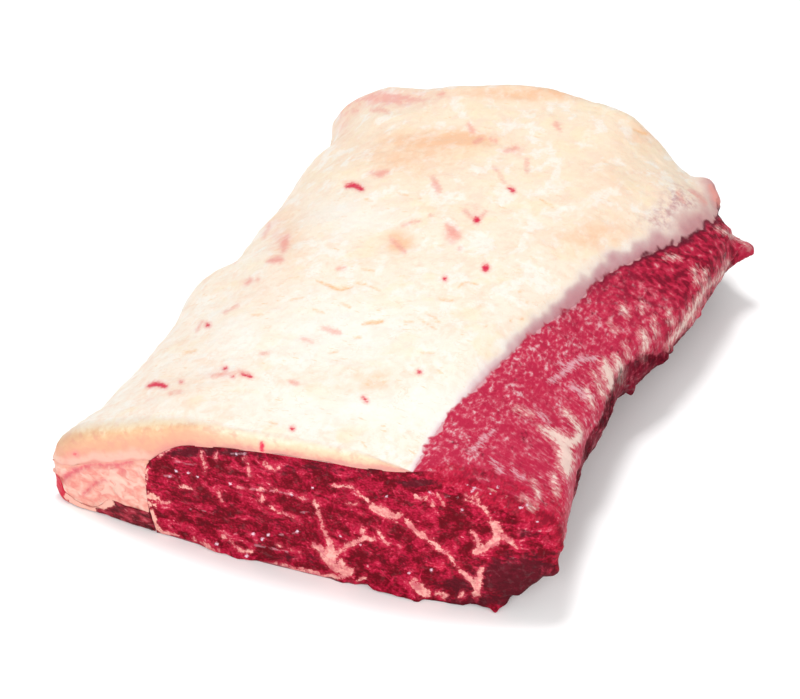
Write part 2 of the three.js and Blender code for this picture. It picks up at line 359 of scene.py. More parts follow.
class Piece:
    """A closed mesh: vertices in mm, faces, and for each vertex how much it belongs to a cut face."""

    def __init__(self, section, cell, stations=STATIONS):
        self.verts, self.faces, self.cut, self.ring = [], [], [], []
        shares = list(np.linspace(0, 1, stations))
        angles = np.linspace(0, math.pi / 2, ROUND_STEPS + 1)[:-1]
        plan = [("front", 0.0, a) for a in angles] + [("body", s, 0.0) for s in shares]
        plan += [("far", 1.0, a) for a in angles[::-1]]
        for kind, s, angle in plan:
            self.add_ring(section(s), kind, s, angle)
        self.around = len(self.verts[0])
        self.count = len(self.verts)
        self.verts = np.vstack(self.verts)
        self.cut = np.concatenate(self.cut)
        self.ring = np.concatenate(self.ring)
        n = self.around
        k, i = np.meshgrid(np.arange(self.count - 1), np.arange(n), indexing="ij")
        k, i = k.ravel(), i.ravel()
        j = (i + 1) % n
        self.faces = np.stack([k * n + i, k * n + j, (k + 1) * n + j, (k + 1) * n + i], 1).tolist()
        self.close(0, front_cut, cell, "front")
        self.close(self.count - 1, far_cut, cell * 1.25, "far")
        self.normals = self.find_normals()

    def add_ring(self, section, kind, s, angle):
        x, z, front, far, ix, iz = section.T
        near_y, far_y = front_cut(x), far_cut(x)
        radius = {"front": front, "far": far, "body": 0 * front}[kind]
        sink = radius * (1 - math.sin(angle))
        depth = radius * (1 - math.cos(angle))
        y = {"front": near_y + depth, "far": far_y - depth,
             "body": lerp(near_y + front, far_y - far, s)}[kind]
        points = place(x + ix * sink, z + iz * sink, y)
        points[:, 2] = np.maximum(points[:, 2], 0)
        self.verts.append(points)
        self.cut.append(np.full(len(x), 0.0 if kind == "body" else math.cos(angle)))
        self.ring.append(lengths(section[:, :2]))

    def close(self, ring, cut_line, cell, side):
        """Fills an end ring with even cells on the cut's own surface."""
        first = ring * self.around
        rim = self.verts[first:first + self.around]
        flat = rim[:, [0, 2]]
        low, high = flat.min(0), flat.max(0)
        gx = np.arange(low[0], high[0], cell)
        gz = np.arange(low[1], high[1], cell * 0.866)
        px, pz = np.meshgrid(gx, gz)
        px = px + (np.arange(len(gz)) % 2)[:, None] * cell / 2
        inner = np.stack([px.ravel(), pz.ravel()], 1)
        inner = inner[contains(flat, inner)]
        inner = inner[clear_of(flat, inner, cell * 0.6)]
        every = np.vstack([flat, inner])
        filled = delaunay_2d_cdt([Vector(p) for p in every], [], [list(range(self.around))], 1, 1e-6)
        missing = [i for i, o in enumerate(filled[3]) if not o]
        if missing:
            print("CROSSING", ring, [tuple(round(c, 1) for c in filled[0][i]) for i in missing][:8])
        origin = [o[0] if o else 0 for o in filled[3]]
        xs = np.linspace(TAIL_X - 4, CHINE_X + 4, 500)
        ys = cut_line(xs)
        world = warp(xs, ys)
        base = len(self.verts)
        added = np.stack([inner[:, 0], np.interp(inner[:, 0], world, ys), inner[:, 1]], 1)
        self.verts = np.vstack([self.verts, added])
        self.cut = np.concatenate([self.cut, np.ones(len(inner))])
        self.ring = np.concatenate([self.ring, np.zeros(len(inner))])
        lookup = [first + o if o < self.around else base + o - self.around for o in origin]
        turn = -1 if side == "far" else 1
        self.faces += [[lookup[v] for v in face][::turn] for face in filled[2]]
        setattr(self, side, np.concatenate([np.arange(first, first + self.around),
                                            np.arange(base, len(self.verts))]))

    def find_normals(self):
        """Unit normals, each the mean of its faces weighted by their size."""
        total = np.zeros_like(self.verts)
        for corners in (4, 3):
            group = np.array([f for f in self.faces if len(f) == corners])
            p = self.verts[group]
            normal = np.cross(p[:, 2] - p[:, 0], p[:, -1] - p[:, 1])
            for corner in group.T:
                np.add.at(total, corner, normal)
        return total / np.maximum(np.linalg.norm(total, axis=1, keepdims=True), 1e-12)

    def push(self, height, mask=1.0):
        """Moves the surface out along its normals."""
        self.verts = self.verts + self.normals * (height * mask)[:, None]

    def tug(self, pixel, shift, radius):
        """Draws the surface near a pixel of the photograph by a shift right and down in pixels."""
        centre = self.verts[Canvas(self).spot(pixel)]
        weight = bump(np.linalg.norm(self.verts - centre, axis=1) / (radius * PIXEL))
        self.verts = self.verts + np.outer(weight, (RIGHT * shift[0] - UP * shift[1]) * PIXEL)

    def settle(self):
        self.verts[:, 2] = np.maximum(self.verts[:, 2], 0)
        self.normals = self.find_normals()


def contains(outline, points):
    a, b = outline, np.roll(outline, -1, axis=0)
    inside = np.zeros(len(points), bool)
    for (x0, z0), (x1, z1) in zip(a, b):
        if z0 == z1:
            continue
        crosses = (z0 > points[:, 1]) != (z1 > points[:, 1])
        inside ^= crosses & (points[:, 0] < (x1 - x0) * (points[:, 1] - z0) / (z1 - z0) + x0)
    return inside


def clear_of(outline, points, distance):
    far = np.full(len(points), True)
    for x, z in evenly(np.vstack([outline, outline[:1]]), spacing=distance):
        far &= (points[:, 0] - x) ** 2 + (points[:, 1] - z) ** 2 > distance ** 2
    return far


def to_object(piece, name, attributes, material):
    mesh = bpy.data.meshes.new(name)
    mesh.from_pydata((piece.verts * MM).tolist(), [], piece.faces)
    mesh.update()
    for key, values in attributes.items():
        layer = mesh.attributes.new(key, "FLOAT", "POINT")
        layer.data.foreach_set("value", np.ascontiguousarray(values, np.float32))
    mesh.polygons.foreach_set("use_smooth", [True] * len(mesh.polygons))
    mesh.normals_split_custom_set_from_vertices(piece.normals.tolist())
    mesh.materials.append(material)
    obj = bpy.data.objects.new(name, mesh)
    bpy.context.scene.collection.objects.link(obj)
    return obj


# ---------------------------------------------------------------- marks placed where the photograph shows them

def to_photo(points):
    """Pixels of the photograph, and the distance from the camera."""
    offset = points - EYE_POINT
    depth = -(offset @ BACK)
    across = PHOTO_WIDTH / 2 + FOCAL_PIXELS * (offset @ RIGHT) / depth
    down = PHOTO_HEIGHT / 2 - FOCAL_PIXELS * (offset @ UP) / depth
    return np.stack([across, down], 1), depth


class Canvas:
    """The side of a piece that faces the photograph's camera, on which marks are put by pixel."""

    def __init__(self, piece):
        self.piece = piece
        self.index = np.where(piece.normals @ BACK > 0.03)[0]
        self.pixels, self.depth = to_photo(piece.verts[self.index])

    def spot(self, pixel):
        away = np.linalg.norm(self.pixels - pixel, axis=1)
        near = away < max(2.5, away.min() + 0.5)
        return self.index[np.argmin(np.where(near, self.depth + away, 1e9))]

    def strokes(self, marks, reach=9.0):
        """Distance in mm across the view from every vertex to the nearest stroke's edge: below 0 inside a stroke.
        A mark is a width in pixels, or several along the stroke, and the pixels that its stroke runs through."""
        out = np.full(len(self.piece.verts), reach)
        for width, pixels in marks:
            widths = np.atleast_1d(width) * PIXEL
            if len(pixels) == 1:
                pixels = [pixels[0], (pixels[0][0] + 0.5, pixels[0][1])]
            line = flow(pixels, 2.0) if len(pixels) > 2 else np.asarray(pixels, float)
            half = np.interp(np.linspace(0, 1, len(line)), np.linspace(0, 1, len(widths)), widths) / 2
            depth = to_photo(self.piece.verts[self.spot(line[len(line) // 2])][None])[1][0]
            margin = reach / PIXEL
            low, high = line.min(0) - margin, line.max(0) + margin
            close = np.all((self.pixels > low) & (self.pixels < high), axis=1) & (np.abs(self.depth - depth) < 45)
            at, index = self.pixels[close], self.index[close]
            for a, b, ha, hb in zip(line[:-1], line[1:], half[:-1], half[1:]):
                step = b - a
                t = np.clip((at - a) @ step / max(step @ step, 1e-9), 0, 1)
                gap = np.linalg.norm(at - a - t[:, None] * step, axis=1) * PIXEL - lerp(ha, hb, t)
                out[index] = np.minimum(out[index], gap)
        return out

    def glow(self, marks):
        """A soft patch, used for stains and for painted shade: each mark is a pixel, a radius in pixels across and
        down, and a strength.
        """
        pixels, _ = to_photo(self.piece.verts)
        total = np.zeros(len(pixels))
        for (u, v), (wide, tall), strength in marks:
            total += strength * np.exp(-(((pixels[:, 0] - u) / wide) ** 2 + ((pixels[:, 1] - v) / tall) ** 2))
        return total


def mirror_marks(piece, values, rest):
    """Gives the far cut the marks of the front cut, so that the grain runs through the loin."""
    tree = kdtree.KDTree(len(piece.front))
    for n, i in enumerate(piece.front):
        tree.insert((piece.verts[i, 0], piece.verts[i, 2], 0), n)
    tree.balance()
    out = values.copy()
    shift = rough(piece.verts[piece.far], 30, 91, 2) * 3
    for i, d in zip(piece.far, shift):
        x, _, z = piece.verts[i]
        _, n, gap = tree.find((x * 0.94 + 2 + d, z * 1.09 + 1 - d, 0))
        out[i] = values[piece.front[n]] if gap < 4 else rest
    return out


# Seams and patches of fat in the front cut: (width, pixels).
CUT_SEAMS = [
    (2.0, [(201, 453), (205, 471)]), (2.0, [(217, 453), (216, 460)]),
    (1.8, [(244, 458), (248, 461), (248.5, 474), (252, 475)]), (2.2, [(264, 463), (267, 466), (273, 468.5)]),
    (2.0, [(276, 470), (279, 468)]), (1.0, [(237, 487), (263, 490), (287, 493.5), (308, 498.5)]),
    (1.8, [(218.5, 489), (221.5, 500)]), (1.6, [(262, 493), (263.5, 500), (257, 501.5)]),
    (1.5, [(270, 505.5), (278.5, 511.5), (287, 515.5), (298.5, 519.5)]), (1.8, [(180, 487), (191.5, 488.5)]),
    (1.8, [(157, 503), (168.5, 503)]), ((6, 4, 1.5), [(146, 495), (152, 496), (159, 498)]),
    ((4, 2), [(147, 503), (157, 505)]), ((3, 1.5), [(147, 470), (146, 484)]), ((3, 2), [(160, 454), (170, 449)]),
    ((4, 5, 2), [(149, 511), (153, 519), (157, 528)]),
    ((3, 2, 1.5, 3), [(314, 500), (318.5, 510), (320, 518.5), (323.5, 530), (328.5, 540)]),
    ((5, 8, 9, 7), [(315, 545), (325, 554), (334, 567), (343, 572), (350, 571)]),
    ((6, 7, 8), [(328.5, 541), (331.5, 551), (334, 559)]),
    ((4, 4.5, 4, 2), [(335, 553), (347, 546), (363, 538.5), (376, 538.5)]),
    ((2, 3), [(361.5, 525.5), (363.5, 538.5)]), ((1.2, 2.8), [(376, 528.5), (384, 541), (388.5, 543)]),
    ((2, 3.5, 4), [(266, 564), (294, 570), (318.5, 575.5), (334, 578.5), (350, 574)]),
    ((1.5, 2.2), [(221.5, 535), (233, 543), (240, 550), (251, 551)]), (1.0, [(277, 544), (298.5, 551.5)]),
    ((2.5, 4, 2), [(151.5, 513), (154, 521.5), (158.5, 530), (177, 537)]), (3.0, [(194, 540), (210, 545), (219, 551)]),
    (1.8, [(334, 485.5), (348.5, 485.5), (360, 494), (371, 504)]), (1.4, [(347, 504), (357, 504)]),
    ((6, 9, 8, 4), [(373, 507), (383, 511.5), (394, 517), (401.5, 515.5)]),
    ((1.5, 4, 5.5, 4.5, 3, 3, 5.5), [(401, 517), (411.5, 525.5), (420, 534), (431.5, 541.5), (440, 550),
                                    (448.5, 555.5), (458.5, 568.5), (468.5, 577), (474, 584)]),
    ((4, 7, 8, 7), [(481.5, 568.5), (478.5, 578.5), (477, 588.5), (475.5, 595)]),
    ((4, 3, 2), [(465.5, 497), (475.5, 501.5), (483, 507), (491.5, 520)]), (2.2, [(477, 493), (478.5, 503)]),
    ((4, 9, 9, 7, 6), [(490, 520), (497, 528.5), (498, 535.5), (491.5, 543), (483, 548.5), (477, 552.5)]),
    ((5, 3, 1.5), [(497, 530), (507, 538.5), (517, 547)]), ((3, 5), [(471.5, 533), (477, 540), (478.5, 548)]),
    ((3, 1.5), [(490, 487), (501.5, 498.5)]), (1.8, [(504, 497), (514, 494)]), (2.2, [(416, 497), (426, 498.5), (433, 505)]),
    (1.6, [(437, 493), (444, 504)]), (5.0, [(340, 562), (346, 568), (350, 573)]),
    ((8, 10), [(413, 583), (420, 589), (425, 593)]), (5.0, [(437, 594), (444, 597)]), (3.0, [(358.5, 581), (363, 578.5)]),
    (2.6, [(460, 596), (462, 593)]), (1.2, [(540, 571), (549, 569)]),
]
# Cream patches and streaks on the bare side, the bluish skin left on it, and painted shade on its lower edge.
SIDE_PATCHES = [
    ((4, 12, 12, 6), [(539, 428), (552, 434), (567, 443), (579, 436), (581, 430)]),
    ((9, 15, 15, 6), [(559, 440), (564, 450), (566, 463), (568, 476)]), ((5, 8), [(566, 410), (575, 420), (581, 432)]),
    ((2, 4), [(514, 407), (530, 415)]), ((8, 13, 8), [(604, 362), (609, 376), (612, 388)]),
    ((5, 9, 6), [(615, 357), (620, 369), (620, 382)]), (4.5, [(555, 475), (557.5, 493)]),
    ((3, 5), [(533, 478), (538, 497)]), ((3, 5), [(522, 497), (534, 508)]), (5.0, [(586, 391), (593, 405)]),
    (5.0, [(599, 384), (607, 398)]), ((4, 7, 3), [(641, 330), (646, 343), (643, 359)]), (3.4, [(622, 307), (628, 316)]),
    ((3, 6, 7, 6, 3), [(708, 284), (699, 300), (691, 313), (682, 327), (672, 340), (667, 350)]),
    ((2, 3), [(717, 227), (728, 233), (743, 240), (749, 247)]), ((3, 4), [(727, 263), (718, 278), (709, 287)]),
    (3.4, [(694, 269), (697, 283)]), (3.4, [(705, 271), (704, 281)]), (4.0, [(669, 312), (672, 323)]),
    (2.4, [(666, 257), (679, 259)]), (2.6, [(654, 318), (657, 335)]), (3.0, [(626, 345), (629, 357)]),
    (2.0, [(611, 322), (616, 332)]), (1.6, [(640, 303), (643, 312)]), (3.0, [(593, 372), (597, 380)]),
]
SIDE_SKIN = [
    ((6, 9, 6), [(552, 381), (565, 371), (578, 361), (595, 357)]), ((7, 9), [(571, 386), (590, 397)]),
    ((4, 7, 3), [(470, 453), (482, 440), (494, 431)]), (6.0, [(493, 461), (502, 469)]), (4.0, [(514, 469), (523, 477)]),
    (6.0, [(540, 415), (548, 424)]), (5.0, [(560, 362), (568, 366)]),
]
SHADED_SIDE = [
    ((4, 6, 5), [(704, 316), (688, 338), (668, 358), (648, 374)]), (5.0, [(716, 286), (709, 300)]),
    ((3, 4, 3), [(719, 216), (733, 223), (748, 233), (757, 243)]), ((5, 6), [(628, 379), (633, 390)]),
]
# Height along the loin below which the chine side gets painted shade.
SHADE_HEIGHT = [(-150, 24), (-118, 37), (-97, 43), (-60, 48), (-20, 49), (0, 46), (20, 37), (60, 30), (150, 24)]
# Painted highlights on the wet front cut: points of light, and pale sheen lines, among them the gloss along the seam
# under the fat.
GLINTS = [(width, [pixel]) for width, pixel in [
    (2.4, (176, 471)), (1.6, (169, 477)), (2.4, (230, 484)), (2.2, (291, 495)), (2.8, (253, 534)), (2.2, (268, 535)),
    (2.4, (262, 539)), (2.0, (297, 532)), (2.2, (217, 543)), (2.4, (247, 555)), (2.2, (431, 570)), (1.8, (409, 573)),
    (1.8, (236, 454)), (1.6, (244, 454)), (2.4, (504, 508)), (2.2, (512, 507)), (2.6, (520, 508)), (2.0, (467, 484)),
    (2.2, (474, 488)), (2.0, (482, 489)), (2.4, (498, 486)), (2.2, (537, 522)), (1.8, (471, 493)), (1.6, (457, 498)),
    (1.8, (462, 510)), (2.0, (527, 505)), (1.8, (496, 511)), (1.6, (197, 477)), (1.6, (312, 488)), (1.6, (490, 494)),
    (1.6, (430, 492)), (1.6, (455, 484)), (1.8, (188, 473)), (1.6, (340, 536)), (1.6, (386, 497)), (1.4, (360, 545))]]
SHEEN_LINES = [
    (1.6, [(164, 476), (180, 477)]), (1.8, [(237, 487), (263, 490), (287, 493.5), (308, 498.5)]),
    (1.6, [(222, 534), (251, 534.5)]), (1.6, [(268, 535), (300, 533)]), (1.4, [(228, 453), (246, 454)]),
    (1.6, [(273, 452), (298, 456), (322, 461)]), (1.6, [(453, 484), (470, 487), (486, 490)]),
    (1.6, [(494, 511), (510, 507), (526, 507)]), (1.4, [(255, 545), (290, 552)]), (1.4, [(175, 462), (196, 465)]),
    (1.4, [(445, 497), (470, 494)]), (1.2, [(300, 512), (316, 514)]), (1.2, [(190, 510), (214, 513)]),
]
# Blood specks, amber nicks, painted shade in a few small pits, and broader stains on the fat.
FAT_BLOOD = [
    ((2.4, 4.6, 3.0), [(346, 185), (353, 184.5), (362, 189)]), ((2.8, 4.4, 3.4), [(149, 386.5), (157.5, 384.5), (166, 387)]),
    (2.2, [(243, 375), (251, 377.5)]), (6.0, [(485.5, 267)]), (5.6, [(476.5, 219.5)]), ((1.6, 3.6), [(509, 188), (513, 191)]),
    (3.0, [(292, 428.5)]), (3.4, [(224.5, 367.5)]), (3.2, [(419, 372.5)]), (2.8, [(444.5, 278.5)]), (3.4, [(207.5, 325)]),
    (1.6, [(363, 398), (367, 402)]),
    (1.4, [(181, 382)]), (1.4, [(233, 377)]), (1.8, [(75, 454)]), ((2.5, 3.5), [(262, 443), (262, 450)]),
]
FAT_NICKS_AND_PIT_SHADE = [
    ((1.4, 3.2, 3.0, 1.6), [(317, 281), (329, 286), (340, 289), (352, 287)]), ((1.6, 3.6, 3.8), [(363, 323), (371, 321), (381, 320)]),
    ((1.2, 2.0), [(341, 304), (350, 307)]), (1.6, [(354, 337), (361, 336)]), (1.8, [(329, 352), (337, 351)]),
    (1.8, [(270, 422), (277, 424)]), (1.0, [(313, 309), (324, 313)]), (1.2, [(404, 321), (413, 322)]),
    (1.2, [(458, 286), (466, 281), (478, 283)]), (2.2, [(439, 298), (452, 300)]), ((1.6, 2.4), [(634, 130), (645, 134)]),
    (1.2, [(356, 282), (368, 285), (380, 290)]), (2.2, [(511, 320)]), (1.8, [(486, 326)]), (1.8, [(527, 302)]),
    (1.8, [(520, 291)]), (1.6, [(522, 319)]), (1.2, [(420, 199)]), (1.0, [(365, 199), (372, 201)]),
    (1.0, [(540, 199), (556, 209)]), (1.0, [(398, 193), (408, 195)]), (1.0, [(362, 269), (374, 271)]),
    (1.0, [(252, 316), (262, 315)]), (1.0, [(290, 300), (302, 298)]), (1.2, [(186, 352), (196, 349)]),
    (1.0, [(421, 353), (434, 354)]), (1.0, [(418, 318), (436, 330)]), (1.0, [(425, 312), (440, 322)]),
]
# Rosy touches, softer and wider than the nicks.
FAT_BLUSH = [
    ((3, 6, 4), [(690, 190), (697, 195), (705, 203)]), ((5, 9, 6), [(711, 187), (715, 194), (719, 203)]),
    ((2, 4, 3), [(371, 110), (379, 109), (387, 111)]), (3.4, [(352, 111), (356, 110)]), (3.2, [(439, 95), (443, 94)]),
    ((3, 5), [(468, 124), (472, 130)]), (3.6, [(475, 143), (482, 138)]), ((2.6, 2), [(490, 138), (497, 141)]),
    ((3, 4.5), [(506, 151), (516, 147)]), ((2, 1.6), [(493, 167), (499, 173), (505, 183)]), ((3, 6, 4), [(373, 173), (379, 175), (387, 173)]),
    ((4, 7, 6), [(433, 178), (436, 185), (439, 190)]), (3.0, [(430, 216)]), ((1.6, 2.4, 1.6), [(402, 225), (413, 222), (420, 222)]),
    ((3, 7, 5), [(447, 226), (452, 232), (458, 236)]), (2.8, [(466, 212), (470, 217)]), (2.6, [(486, 211), (482, 216)]),
    (2.6, [(460, 247)]), ((3, 5, 3), [(391, 238), (398, 244), (405, 252)]), ((3, 7, 5), [(288, 236), (285, 244), (284, 252)]),
    ((3, 5), [(268, 262), (281, 261)]), (3.4, [(247, 283), (251, 280)]), (2.6, [(258, 280)]), (3.0, [(338, 269), (344, 268)]),
    (2.2, [(225, 313), (238, 306)]), ((2, 5, 3), [(322, 328), (332, 330), (339, 332)]), (2.4, [(261, 354), (268, 353)]),
    (3.0, [(213, 376), (226, 374)]), (2.8, [(290, 382), (297, 384)]), (2.4, [(677, 194), (683, 203)]), (2.6, [(527, 160), (527, 172)]),
    (3.2, [(556, 125), (560, 131)]), (2.0, [(234, 262), (238, 252)]), (2.4, [(170, 395), (182, 393)]), (2.4, [(240, 371), (248, 374)]),
    (2.2, [(196, 330), (202, 322)]), (2.4, [(264, 238), (270, 226)]), (1.8, [(302, 338), (312, 342)]),
]
FAT_TAN = [((435, 138), (62, 11), 0.6), ((412, 160), (60, 20), 0.6), ((470, 140), (30, 10), 0.5), ((398, 241), (16, 12), 0.9),
           ((560, 92), (110, 9), 0.9), ((650, 130), (30, 22), 0.5), ((290, 240), (20, 45), 0.4), ((180, 385), (50, 22), 0.3),
           ((330, 380), (60, 20), 0.3), ((610, 235), (40, 16), 0.5), ((250, 300), (40, 25), 0.25), ((600, 180), (60, 40), 0.3),
           ((380, 380), (25, 14), 0.35), ((175, 335), (22, 22), 0.25), ((240, 408), (60, 8), 0.2), ((560, 240), (40, 20), 0.3)]
FAT_PINK = [((385, 98), (66, 11), 0.75), ((342, 118), (14, 30), 0.55), ((388, 97), (24, 4), 0.5), ((378, 174), (14, 6), 0.5),
            ((452, 234), (9, 11), 0.9), ((470, 210), (14, 9), 0.5), ((225, 374), (26, 6), 0.6), ((276, 261), (8, 4), 0.9),
            ((285, 242), (9, 10), 0.6), ((275, 205), (12, 60), 0.4), ((150, 335), (8, 50), 0.25), ((294, 383), (6, 5), 0.6),
            ((515, 150), (20, 8), 0.4), ((557, 125), (9, 5), 0.5), ((310, 340), (20, 10), 0.3), ((152, 400), (10, 4), 0.4),
            ((75, 455), (14, 5), 0.8), ((190, 449), (14, 4), 0.8), ((262, 452), (6, 4), 0.5), ((248, 283), (10, 6), 0.5)]
FAT_WHITE = [((350, 215), (60, 24), 0.9), ((330, 410), (110, 20), 0.9), ((300, 330), (90, 50), 0.5), ((460, 410), (50, 34), 0.9),
             ((370, 330), (80, 50), 0.5), ((230, 330), (30, 30), 0.4), ((240, 262), (30, 14), 0.5)]
FAT_MAUVE = [((700, 215), (24, 26), 1.0), ((672, 205), (16, 24), 0.55), ((655, 225), (26, 18), 0.5), ((716, 200), (12, 16), 0.7)]
TAIL_LEAN_FAT = [((3, 7, 8), [(93, 507), (103, 505), (110, 503)]), ((5, 7, 7, 5), [(67, 496), (75, 503), (86, 508), (95, 510)])]
TAIL_CREASES = [
    ((5, 4, 2), [(63, 479), (74, 472), (84, 467), (96, 464)]), ((1.2, 2), [(114, 463), (119, 469), (124, 472)]),
    (1.4, [(84, 494), (94, 485), (104, 481)]), ((1.5, 2.5), [(96, 464), (112, 466), (132, 462)]),
]


# ---------------------------------------------------------------- the eye muscle

eye = Piece(eye_section, 0.95)
EDGE_TUGS = [((494, 604), (1, 9), 9), ((512, 600), (-2, -4), 9), ((474, 603), (0, -5), 14), ((340, 580), (0, 5), 9),
             ((365, 586), (0, -5), 8), ((236, 556), (0, 4), 11), ((416, 597), (0, 5), 8), ((440, 600), (0, -5), 7),
             ((631, 386), (3, 9), 9), ((618, 392), (-5, -4), 8), ((598, 425), (3, 2), 9), ((580, 478), (-5, 0), 16),
             ((672, 350), (3, 3), 9), ((664, 357), (4, 3), 14), ((700, 314), (2, 2), 8), ((551, 569), (6, 6), 15),
             ((562, 550), (3, 2), 9), ((727, 212), (-9, 3), 24), ((748, 250), (5, -3), 15), ((745, 267), (-3, -13), 18),
             ((732, 272), (-1, -7), 13), ((742, 270), (0, -11), 36), ((730, 216), (-9, 3), 26)]
for pixel, shift, radius in EDGE_TUGS:
    eye.tug(pixel, shift, radius)
eye.settle()
paint = Canvas(eye)
seams = paint.strokes(CUT_SEAMS)
seams = np.where(eye.cut > 0.15, seams, lerp(9, seams, np.clip(eye.cut / 0.15, 0, 1)))
seams = mirror_marks(eye, seams, 9.0)
patches = paint.strokes(SIDE_PATCHES)
skin = paint.strokes(SIDE_SKIN)
# Painted highlights: glints and sheen lines on the cut.
glints = paint.strokes(GLINTS, 5.0)
sheen_lines = paint.strokes(SHEEN_LINES, 5.0)
bare = 1 - eye.cut
x, y, z = eye.verts.T
from_fat = x - through(CAP_EDGE, y)
# Painted shade where the chine side turns down and away from the light.
above_shade = np.where(x > 60, z - through(SHADE_HEIGHT, y), 9) + 40 * eye.cut
shaded_side = np.minimum(paint.strokes(SHADED_SIDE), np.minimum(above_shade, 9))
fringe = np.clip(from_fat + 20 * ease(0.6, 0.4, eye.normals[:, 2]), -5, 20)
# Painted shade on the underside near the floor.
underside = ease(30, 12, z) * ease(60, 80, x) * bare
# Painted shade on the front cut: darkest where it turns under at the lower right and along its bottom edge, in the slit
# under the fat's corner, and just below the fat.
shade = paint.glow([((524, 578), (41, 20), 2.2), ((455, 586), (22, 11), 0.9), ((415, 483), (21, 4), 1.5), ((205, 452), (55, 5), 1.3),
                    ((330, 468), (60, 6), 0.8), ((190, 496), (30, 12), 0.45), ((245, 520), (40, 12), 0.35),
                    ((290, 558), (50, 5), 0.6), ((400, 560), (40, 12), 0.3), ((470, 602), (34, 5), 0.9),
                    ((528, 534), (16, 5), 0.7), ((345, 562), (30, 5), 0.3), ((510, 600), (8, 5), 1.0)]) * eye.cut
glow_red = paint.glow([((450, 477), (46, 7), 1.0), ((505, 495), (40, 12), 0.8), ((270, 478), (60, 8), 0.35),
                       ((548, 520), (16, 18), 0.7), ((440, 567), (24, 5), 0.5), ((350, 515), (30, 8), 0.3),
                       ((150, 480), (4, 20), 0.6), ((180, 520), (20, 8), 0.3)])
rolled = ease(0.03, 0.25, eye.cut) * ease(0.99, 0.86, eye.cut) * ease(2, 10, from_fat) * ease(8, 26, z)
fresh_side = paint.glow([((455, 471), (36, 6), 1.0), ((507, 487), (30, 9), 1.0), ((548, 507), (14, 14), 0.9),
                         ((562, 525), (9, 34), 0.8), ((480, 474), (30, 5), 0.5)])
glow_red = np.maximum(glow_red * ease(0, 0.3, eye.cut) + rolled, fresh_side * ease(1, 5, from_fat))

grain = np.stack([eye.ring, y, 0 * y], 1)
eye.push(0.45 * rough(eye.verts, 10, 3) + 0.22 * rough(eye.verts, 3.2, 5), eye.cut)
eye.push(0.30 * ease(0.6, -1.5, seams) + 0.3 * ease(0.5, -2, patches))
eye.push(0.8 * rough(eye.verts, 17, 9) + 0.35 * rough(grain, (13, 2.6, 5), 11) + 0.22 * rough(eye.verts, 2.6, 13),
         bare * ease(0, 5, from_fat) * ease(1, 8, z))
hem = ease(9, 0, z) * ease(0.3, 1, eye.cut)
eye.verts[:, 1] += hem * 1.8 * rough(eye.verts * [1, 0.02, 0], 15, 17) * np.where(y < 0, 1, 0.5)
eye.settle()

# ---------------------------------------------------------------- the fat cap

cap = Piece(cap_section, 1.0, 240)
RIM_WIDTH = [(-150, 2.6), (-90, 4.2), (-40, 5.2), (10, 6.8), (60, 8.0), (100, 10), (140, 12)]
BACK_EDGE = [((420, 88), (0, 4), 60), ((585, 93), (0, 4), 60), ((706, 186), (8, -6), 24), ((717, 200), (5, 0), 14)]
for pixel, shift, radius in BACK_EDGE:
    cap.tug(pixel, shift, radius)
cap.settle()
x, y, z = cap.verts.T
canvas = Canvas(cap)
blood = canvas.strokes(FAT_BLOOD, 5.0)
nicks_and_pit_shade = canvas.strokes(FAT_NICKS_AND_PIT_SHADE, 5.0)
blush = canvas.strokes(FAT_BLUSH, 5.0)
tan = canvas.glow(FAT_TAN)
pink = canvas.glow(FAT_PINK)
white = canvas.glow(FAT_WHITE)
mauve = canvas.glow(FAT_MAUVE)
rim_gap = through(CAP_EDGE, y) - x
upper_side = ease(0.1, 0.5, cap.normals[:, 2]) * (1 - cap.cut)
cap.push(1.1 * rough(cap.verts, 34, 21, 2) + 0.25 * rough(cap.verts, (9, 5, 9), 23) + 0.14 * rough(cap.verts, 3, 25),
         upper_side * ease(0, 14, rim_gap))
cap.push(0.3 * rough(cap.verts, (4, 1.6, 4), 29, 2), (1 - cap.cut) * ease(9, 3, rim_gap))
cap.push(-0.4 * ease(0.8, -0.8, nicks_and_pit_shade) - 0.3 * ease(0.6, -0.6, blood))
cap.push(0.3 * rough(cap.verts, 12, 27), cap.cut * ease(6, 12, rim_gap))
cap.settle()

# ---------------------------------------------------------------- the tail

tail_fat = Piece(fat_section, 1.0, 150)
creases = Canvas(tail_fat).strokes(TAIL_CREASES, 5.0)
tail_fat.push(0.8 * rough(tail_fat.verts, 9, 31) + 0.3 * rough(tail_fat.verts, 3, 33), tail_fat.cut)
tail_fat.push(-0.8 * ease(1.5, -1, creases), tail_fat.cut)
tail_fat.settle()
tail_lean = Piece(tail_lean_section, 1.0, 150)
tail_lean.push(0.5 * rough(tail_lean.verts, 6, 35), tail_lean.cut)
tail_lean.settle()
lean_fat = Canvas(tail_lean).strokes(TAIL_LEAN_FAT, 5.0)


# ---------------------------------------------------------------- materials

